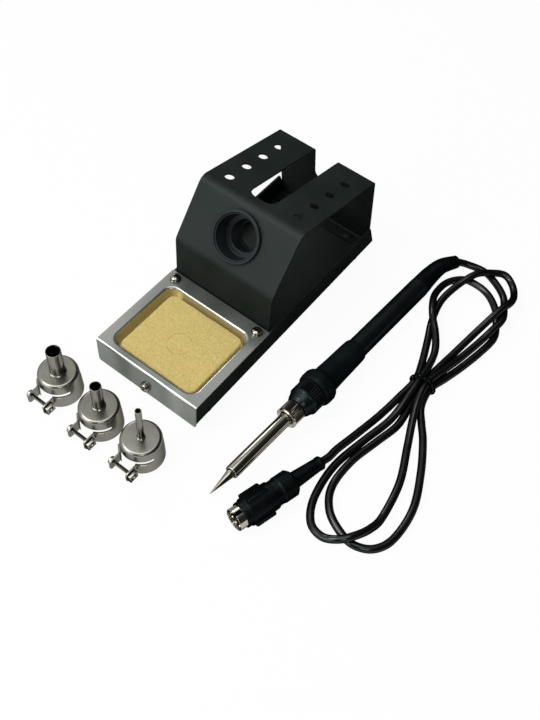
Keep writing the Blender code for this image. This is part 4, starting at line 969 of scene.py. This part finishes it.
iron = {  # finish, body, slot, node, steps around, whether the outline is a ring, and corners
    "conicalTip": ("bright", "tip_assembly", "polished_steel", "iron_tip", 56, False, [
        (0, 0), (0.18, 0.12), (0.3, 0.6), (0.62, 3.0), (1.15, 6.6), (1.75, 10.6), (2.35, 14.4, 1.0),
        (2.5, 16.9), (3.0, 17.2), (3.0, 44), (2.2, 44), (2.2, 24), (0, 24)]),
    "tipTube": ("bright", "tip_assembly", "polished_steel", "tip_tube", 72, True, [
        (2.8, 15.9, 0.15), (3.8, 15.9, 0.5), (3.8, 62.8), (4.8, 62.8), (4.8, 64), (3.35, 64), (3.35, 16.7),
        (2.8, 16.7)]),
    "heatingRod": ("ceramic", "stand_and_iron", "ceramic_white", "heating_element", 32, False, [
        (0, 24.6), (1.9, 24.6, 0.4), (1.9, 97.2), (0, 97.2)]),
    "gripSleeve": ("grip", "stand_and_iron", "handle_black", "grip_sleeve", 88, True, [
        (6.45, 83.5), (9.3, 83.5, 0.3), (10.3, 84.2, 0.8), (10.6, 86.0, 1.5), (10.6, 89.6, 1.2),
        (9.9, 91.4, 0.9), (8.7, 92.4, 0.6), (8.1, 93.6, 1.2), (7.7, 104.0, 10.0), (7.4, 118.2, 1.5),
        (7.25, 121.4, 0.6), (6.95, 122.7, 0.2), (6.45, 122.7)]),
    "handleTube": ("plastic", "stand_and_iron", "handle_black", "handle_tube", 80, True, [
        (4.8, 83.8), (6.25, 83.8, 0.1), (6.25, 187.0, 0.3), (6.0, 187.6, 0.1), (4.8, 187.6)]),
}
knurl = {
    "nutFront": 59.8, "nutEnd": 68.7, "nutRibs": 34, "nutDepth": 0.55,
    "dome": 69.0, "collarEnd": 82.4, "collarRibs": 36, "collarDepth": 0.6,
}
terminalBoard = {"low": (-3.84, -0.6, 104), "high": (3.84, 0.6, 150), "corner": 0.8}
ironLine = (ironPoint, levelTurn(ironAhead))


def turnOnIron(name):
    finish, body, slot, node, steps, ring, corners = iron[name]
    seatOn(turnPiece(name, corners, steps, ring), ironLine, finish, slot, node, body=body)


def makeNut():
    front, end, ribs = knurl["nutFront"], knurl["nutEnd"], knurl["nutRibs"]
    nut = turnPiece("knurledNut", [
        (4.1, front + 0.5, 0.1), (4.6, front + 0.4, 0.2), (5.4, front, 0.2), (5.8, front, 0.2),
        (6.35, front + 0.45, 0.2), (6.35, front + 1.1, 0.2), (6.1, front + 1.35), (6.2, front + 1.7),
        (6.2, end - 0.8), (5.8, end, 0.1), (5.1, end), (5.1, 62.5), (4.1, 62.5)], ribs * 4)
    rib(nut, ribs, front + 1.5, end + 1, 5.5, knurl["nutDepth"])
    seatOn(nut, ironLine, "pin", "polished_steel", "tube_nut", body="tube_nut", angle=28)


def makeCollar():
    dome, end, ribs = knurl["dome"], knurl["collarEnd"], knurl["collarRibs"]
    collar = turnPiece("frontCollar", [
        (2.2, 64.3), (4.8, 64.3, 0.2), (4.8, dome), (6.0, dome, 0.3), (7.2, dome + 1.8, 1.5),
        (8.35, dome + 5.2, 0.6), (9.05, dome + 6.0, 0.3), (9.05, dome + 6.9), (9.05, dome + 7.1), (9.05, end),
        (9.05, end + 0.15), (9.05, end + 0.5, 0.3), (8.2, end + 0.8), (4.5, end + 0.8), (4.5, 95.2),
        (2.2, 95.2)], ribs * 4)
    rib(collar, ribs, dome + 7.0, end + 0.1, 8.5, knurl["collarDepth"])
    seatOn(collar, ironLine, "plastic", "handle_black", "front_collar", angle=28)


def makeBoard():
    board = block("terminalBoard", terminalBoard["low"], terminalBoard["high"], terminalBoard["corner"], 1, 4)
    soften(board, 0.1, 1)
    seatOn(board, ironLine, "board", "board_green", "terminal_board")


relief = {
    "start": 187.8, "plugIn": 6.3, "plugRadius": 3.4, "way": ((112.9, 169.6, 6.2), (114.4, 180.9, 5.6)),
    "radius": 6.1, "taper": 2.15, "ribs": 19, "ribbed": (0.14, 0.76), "groove": 0.4,
}


def evenly(line, spacing):  # points at equal distances along a line
    lengths = [0.0]
    for start, end in zip(line, line[1:]):
        lengths.append(lengths[-1] + (end - start).length)
    count = max(2, round(lengths[-1] / spacing))
    picked, section = [], 0
    for index in range(count + 1):
        wanted = lengths[-1] * index / count
        while section < len(line) - 2 and lengths[section + 1] < wanted:
            section += 1
        share = (wanted - lengths[section]) / (lengths[section + 1] - lengths[section])
        picked.append(line[section].lerp(line[section + 1], min(1, share)))
    return picked


def makeHandleRelief():
    mouth = ironPoint + ironAhead * relief["start"] * mm
    exit, after = (at(*point) for point in cordPlan["route"][:2])
    last = exit - (after - exit).normalized() * 0.3 * mm
    way = [at(*point) for point in relief["way"]]
    spine = evenly(smoothLine([mouth, *way, last], 24), 0.25 * mm)
    points = [mouth - ironAhead * relief["plugIn"] * mm, mouth - ironAhead * 0.05 * mm] + spine
    radii = [relief["plugRadius"]] * 2
    low, high = relief["ribbed"]
    for index in range(len(spine)):
        share = index / (len(spine) - 1)
        radius = relief["radius"] - relief["taper"] * share ** 1.3
        if low < share < high and math.cos(2 * math.pi * share * relief["ribs"]) > 0.45:
            radius -= relief["groove"]
        radii.append(radius)
    for index, less in ((2, 0.4), (-1, 0.5), (-2, 0.2)):  # rounded ends
        radii[index] -= less
    piece = toMesh(wire("handleRelief", points, radii, 9))
    smooth(piece, 40)
    finishPiece(piece, "rubber", "rubber_black", "handle_strain_relief")


cordTie = {
    "strands": ((-4.7, 3.8), (4.7, 3.8), (2.35, 7.9), (-2.35, 7.9)),  # the outer strands' places
    "radius": 0.55, "slack": 0.3, "widen": 2.2, "tail": ((0.8, -1.5, 1.2), (2.4, -4.6, 1.0)), "top": 11.0,
}


def makeTie():  # band round the five strands, with two short tails
    x0, y0, radius = cordPlan["tieX"], cordPlan["tieY"], cordTie["radius"]
    strands = cordTie["strands"]
    reach = cordPlan["radius"] + cordTie["slack"] + radius
    points = []
    for index, (x, z) in enumerate(strands):
        before, after = strands[index - 1], strands[(index + 1) % len(strands)]
        start = math.atan2(x - before[0], -(z - before[1])) - math.pi
        end = math.atan2(after[0] - x, -(after[1] - z)) - math.pi
        while end < start:
            end += 2 * math.pi
        for step in range(9):
            angle = start + (end - start) * step / 8 - math.pi / 2
            points.append(at(x0 + x - reach * math.sin(angle), y0, z + reach * math.cos(angle)))
    band = toMesh(wire("cordTieBand", points, [radius] * len(points), 4, True))
    edit(band)
    selectAll()
    resize((1, cordTie["widen"], 1), at(x0, y0, 0))
    leaveEdit()
    smooth(band, 50)
    finishPiece(band, "rubber", "rubber_black", "cord_tie")
    for side, lean in (("Left", -1), ("Right", 1)):
        root = at(x0 + 0.6 * lean, y0, cordTie["top"])
        tail = smoothLine([root] + [root + Vector((x * lean, y, z)) * mm for x, y, z in cordTie["tail"]], 6)
        piece = toMesh(wire("tieTail" + side, tail, [radius] * (len(tail) - 1) + [0.35], 4))
        smooth(piece, 50)
        finishPiece(piece, "rubber", "rubber_black")


turnOnIron("conicalTip")
turnOnIron("tipTube")
makeNut()
makeCollar()
for name in ("heatingRod", "gripSleeve", "handleTube"):
    turnOnIron(name)
makeBoard()
makeHandleRelief()
makeTie()
print("iron built")

# plug: heights are millimetres from the shell's mouth

plug = {
    "shell": [(5.7, 0, 0.1), (6.2, 0, 0.2), (6.2, 15), (5.7, 15)],
    "key": ((-1.1, -7.2, -1), (1.1, -4.7, 4.2)),
    "core": [(0, 5.2), (5.4, 5.2, 0.3), (5.4, 14), (0, 14)],
    "pin": [(0, 1.0), (0.5, 1.1, 0.3), (0.75, 1.8, 0.6), (0.75, 13.5), (0, 13.5)],
    "pins": 5, "pinCircle": 4.3, "socket": 1.05,
    "bodyFront": [
        (0, 15.3), (6.5, 15.3), (6.5, 4.4, 0.1), (7.1, 4.4, 0.3), (7.1, 27.6, 0.2), (7.5, 28.6, 0.2)],
    "bodyRear": [(7.5, 36.0, 0.3), (6.1, 37.6, 0.2), (3.7, 37.6), (3.7, 31.6), (0, 31.6)],
    "bodyRibs": 6, "bodyRibStart": 29.2, "bodyRibPitch": 1.05,
    "collar": [
        (7.4, 7.2), (7.7, 7.2, 0.2), (7.85, 8.0, 0.3), (7.85, 23.6, 0.3), (7.65, 24.0, 0.1), (7.4, 24.0)],
    "wings": ((-8.15, -5.3, 8.6), (8.15, 5.3, 20.9)), "wingTurn": 52, "wingBore": 7.5, "tableBelow": 7.95,
    "bootStart": 37.9, "bootEnd": 57.4, "bootRibs": 11, "bootRadius": 4.55, "bootTaper": 0.85,
    "bootGroove": 0.6,
}
plugLine = (plugMouth, levelTurn(plugAhead))


def makePlugFront():  # shell, pins and insulator
    shell = turnPiece("plugShell", plug["shell"])
    combine(shell, block("key", *plug["key"], 0.4, 1, 4))
    pieces = [seatOn(shell, plugLine, "pin", "polished_steel", "plug_shell")]
    core = turnPiece("plugInsulator", plug["core"], 56, ring=False)
    pin = turnPiece("pin", plug["pin"], 24, ring=False)
    for index in range(plug["pins"]):
        angle = math.pi * index / (plug["pins"] - 1)
        place = Vector((math.cos(angle), math.sin(angle), 0)) * plug["pinCircle"] * mm
        drill(core, plug["socket"], (4, 15), place, None, 24)
        made = seat(copyOf(pin, "plugPin%d" % (index + 1)), place)
        pieces.append(seatOn(made, plugLine, "pin", "polished_steel", "plug_pin_%d" % (index + 1)))
    discard(pin)
    pieces.append(seatOn(core, plugLine, "rubber", "rubber_black", "plug_insulator"))
    return pieces


def makePlugBody():
    corners = list(plug["bodyFront"])
    for index in range(plug["bodyRibs"]):
        z = plug["bodyRibStart"] + index * plug["bodyRibPitch"]
        corners += [(7.5, z), (7.15, z + 0.25), (7.15, z + 0.45), (7.5, z + 0.7)]
    body = turnPiece("plugBody", corners + plug["bodyRear"], ring=False)
    return seatOn(body, plugLine, "rubber", "rubber_black", "plug_body")


def makePlugCollar():
    collar = turnPiece("plugLockingCollar", plug["collar"], 88)
    wings = block("wings", *plug["wings"])
    soften(wings, 0.75, 4, 60)
    drill(wings, plug["wingBore"], (0, 30), Vector(), None, 88)
    seat(wings, Vector(), turned(plug["wingTurn"], "Z"))
    combine(wings, block("table", (-12, plug["tableBelow"], 0), (12, 15, 30)))  # flat towards the table
    combine(collar, wings, "UNION")
    return seatOn(collar, plugLine, "rubber", "handle_black", "plug_collar", body="plug_collar")


def makePlugBoot():
    start, end, ribs, groove = plug["bootStart"], plug["bootEnd"], plug["bootRibs"], plug["bootGroove"]
    pitch = (end - start - 3.2) / ribs
    corners = [(0, 32.1), (3.4, 32.1), (3.4, start)]
    for index in range(ribs):
        radius = plug["bootRadius"] - plug["bootTaper"] * index / ribs
        near = start + index * pitch
        for less, height in ((0, 0.05), (0, pitch * 0.55), (groove, pitch * 0.72), (groove, pitch * 0.9)):
            corners.append((radius - less, near + height))
    corners += [(3.2, end - 3.1), (3.9, end - 2.9, 0.4), (3.9, end - 0.9, 0.5), (3.0, end, 0.3), (0, end)]
    boot = turnPiece("plugBoot", corners, 48, ring=False)
    return seatOn(boot, plugLine, "rubber", "rubber_black", "plug_strain_relief", angle=40)


plugPieces = makePlugFront() + [makePlugBody(), makePlugCollar(), makePlugBoot()]
finishPiece(cord, "sheath", "cord_black", "iron_cord")
print("plug built")

# nozzles: each stands on its foot, with its clamp towards the front

nozzle = {
    "places": {  # place, outlet radius and mouth height
        "Large": (-3.3, -26.3, 4.1, 36.0),
        "Medium": (28.2, -28.2, 3.1, 36.2),
        "Small": (57.6, -28.3, 1.7, 43.6),
    },
    "height": 17.6, "top": 10.9, "foot": 12.1, "belly": 11.75, "bellyHeight": 8.0, "wall": 0.5,
    "slit": (9.2, 11.4), "slitEnd": 11.1, "gap": (-5.4, 4.8),
    "ear": 18.2, "earLow": 1.4, "earSheet": 0.9, "earCorner": 1.7, "earHole": 1.4, "earRadius": 12.45,
    "screwY": -15.0, "screwZ": 5.2, "screwHead": 6.7, "screwEnd": -8.7, "pitch": 0.45, "screwTurn": 35,
    "nutFace": 6.1, "nutThick": 1.9, "nutHalf": 2.7, "nutRecess": 1.5,
}


def earStrip(side):  # bent out of the clamp band: along the band, round a bend, then straight out
    radius, low = nozzle["earRadius"], nozzle["earLow"]
    gap = (nozzle["gap"][1] if side > 0 else -nozzle["gap"][0]) + 1.0
    turnIn, far = math.acos(gap / radius), math.radians(36)
    corners = []
    for step in range(9):
        angle = far + (turnIn - 0.16 - far) * step / 8
        corners.append((radius * math.cos(angle), -radius * math.sin(angle)))
    corners += [(gap, -radius * math.sin(turnIn) - 0.3, 1.3), (gap, -nozzle["ear"])]
    strip = drawLine("ear", [Vector((side * x, y, low)) * mm for x, y in roundCorners(corners, steps=5)])
    drawOut((0, 0, nozzle["slit"][0] - 0.2 - low))
    selectWhere(strip, "VERT", lambda vert: vert.co.y < -(nozzle["ear"] - 0.01) * mm)
    bevelBy(nozzle["earCorner"], 5)
    faceOutward(strip, (side * gap, -16, 4), (side, 0, 0))
    thicken(strip, nozzle["earSheet"])
    return strip


def makeCup(label, place, outlet):
    top, hole = nozzle["height"], outlet + 0.3
    wide, foot, wall = nozzle["top"], nozzle["foot"], nozzle["wall"]
    belly, bellyHeight = nozzle["belly"], nozzle["bellyHeight"]
    cup = turnPiece(label + "NozzleCup", [
        (hole, top, 0.15), (wide + 0.1, top, 2.0), (belly, bellyHeight, 12.0), (foot, 0.0, 0.2),
        (foot - wall, 0.0, 0.1), (belly - wall, bellyHeight, 10.0), (wide - wall, top - wall, 0.8),
        (hole, top - wall)], 112)
    low, high = nozzle["slit"]
    left, right = nozzle["gap"]
    combine(cup, block("gap", (left, -15.1, -1), (right, -6, low)))
    combine(cup, block("slit", (-14.1, -14.1, low - 0.02), (nozzle["slitEnd"], -2.2, high), 0.35, 0, 3))
    for side in (-1, 1):
        combine(cup, earStrip(side), "UNION")
    screwPlace = Vector((0, nozzle["screwY"], nozzle["screwZ"])) * mm
    drill(cup, nozzle["earHole"], (-10, 10), screwPlace, turned(90, "Y"), 32)
    soften(cup, 0.12, 2, 38)
    settle(cup, 30)
    seat(cup, place)
    name = "nozzle_" + label.lower()
    finishPiece(cup, label, "nozzle_steel", name + "_cup", body=name)


def makeOutlet(label, place, outlet, mouth):
    bore = outlet - 0.35
    tube = turnPiece(label + "NozzleTube", [
        (bore, mouth, 0.1), (outlet, mouth, 0.15), (outlet, 18.5, 0.5), (outlet + 0.75, 17.95, 0.25),
        (outlet + 0.75, 17.65), (outlet, 17.65), (outlet, 16.5), (outlet + 1.2, 16.5), (outlet + 1.2, 15.8),
        (bore, 15.8)], 64)
    tube.data.materials.append(finishes[label])
    # the second slot is painted shade, put on the tube's inner bore
    tube.data.materials.append(finishes["recessShade"])
    paintFaces(tube, 1, lambda face: abs(face.normal.z) < 0.5 and all(
        fromAxis(v) < outlet - 0.25 for v in face.verts))
    name = "nozzle_" + label.lower()
    seatOn(tube, (place,), None, "nozzle_steel", name + "_outlet", body=name)


def makeClamp(label, place):
    name = "nozzle_" + label.lower()
    place = place + Vector((0, nozzle["screwY"], nozzle["screwZ"])) * mm
    head = nozzle["screwHead"]
    corners = [
        (0, head + 1.9), (1.9, head + 1.9, 0.2), (2.3, head + 1.5, 0.3), (2.3, head, 0.15), (1.1, head)]
    z = head - 0.2
    while z > nozzle["screwEnd"] + 0.5:  # thread
        corners += [(1.1, z), (0.9, z - 0.22)]
        z -= nozzle["pitch"]
    corners += [(0.8, nozzle["screwEnd"]), (0, nozzle["screwEnd"])]
    screw = turnPiece(label + "ClampScrew", corners, 28, ring=False)
    combine(screw, block("slot", (-4, -0.35, head + 1.1), (4, 0.35, head + 3)))
    line = (place, turned(-90, "Y") @ turned(nozzle["screwTurn"], "Z"))
    seatOn(screw, line, "screw", "screw_steel", name + "_clamp_screw", body=name + "_screw")
    face, half, recess = nozzle["nutFace"], nozzle["nutHalf"], nozzle["nutRecess"]
    low, high = (face, -half, -half), (face + nozzle["nutThick"], half, half)
    nut = block(label + "ClampNut", low, high, 0.3, 0, 3)
    nut.data.materials.append(finishes["screw"])
    drill(nut, 1.25, (-2, 14), Vector(), turned(90, "Y"), 32)
    # the recess in the nut's face gets the painted shade
    hollow = block("recess", (face + 1.1, -recess, -recess), (face + 4, recess, recess), 0.2, 0, 2)
    hollow.data.materials.append(finishes["recessShade"])
    combine(nut, hollow, material_mode="TRANSFER")
    soften(nut, 0.22, 2, 40)
    seatOn(nut, (place,), None, "screw_steel", name + "_clamp_nut", body=name)


for label, (x, y, outlet, mouth) in nozzle["places"].items():
    place = at(x, y, 0)
    finishes[label] = spunSteel(label + "NozzleSteel", place)
    makeCup(label, place, outlet)
    makeOutlet(label, place, outlet, mouth)
    makeClamp(label, place)
print("nozzles built")
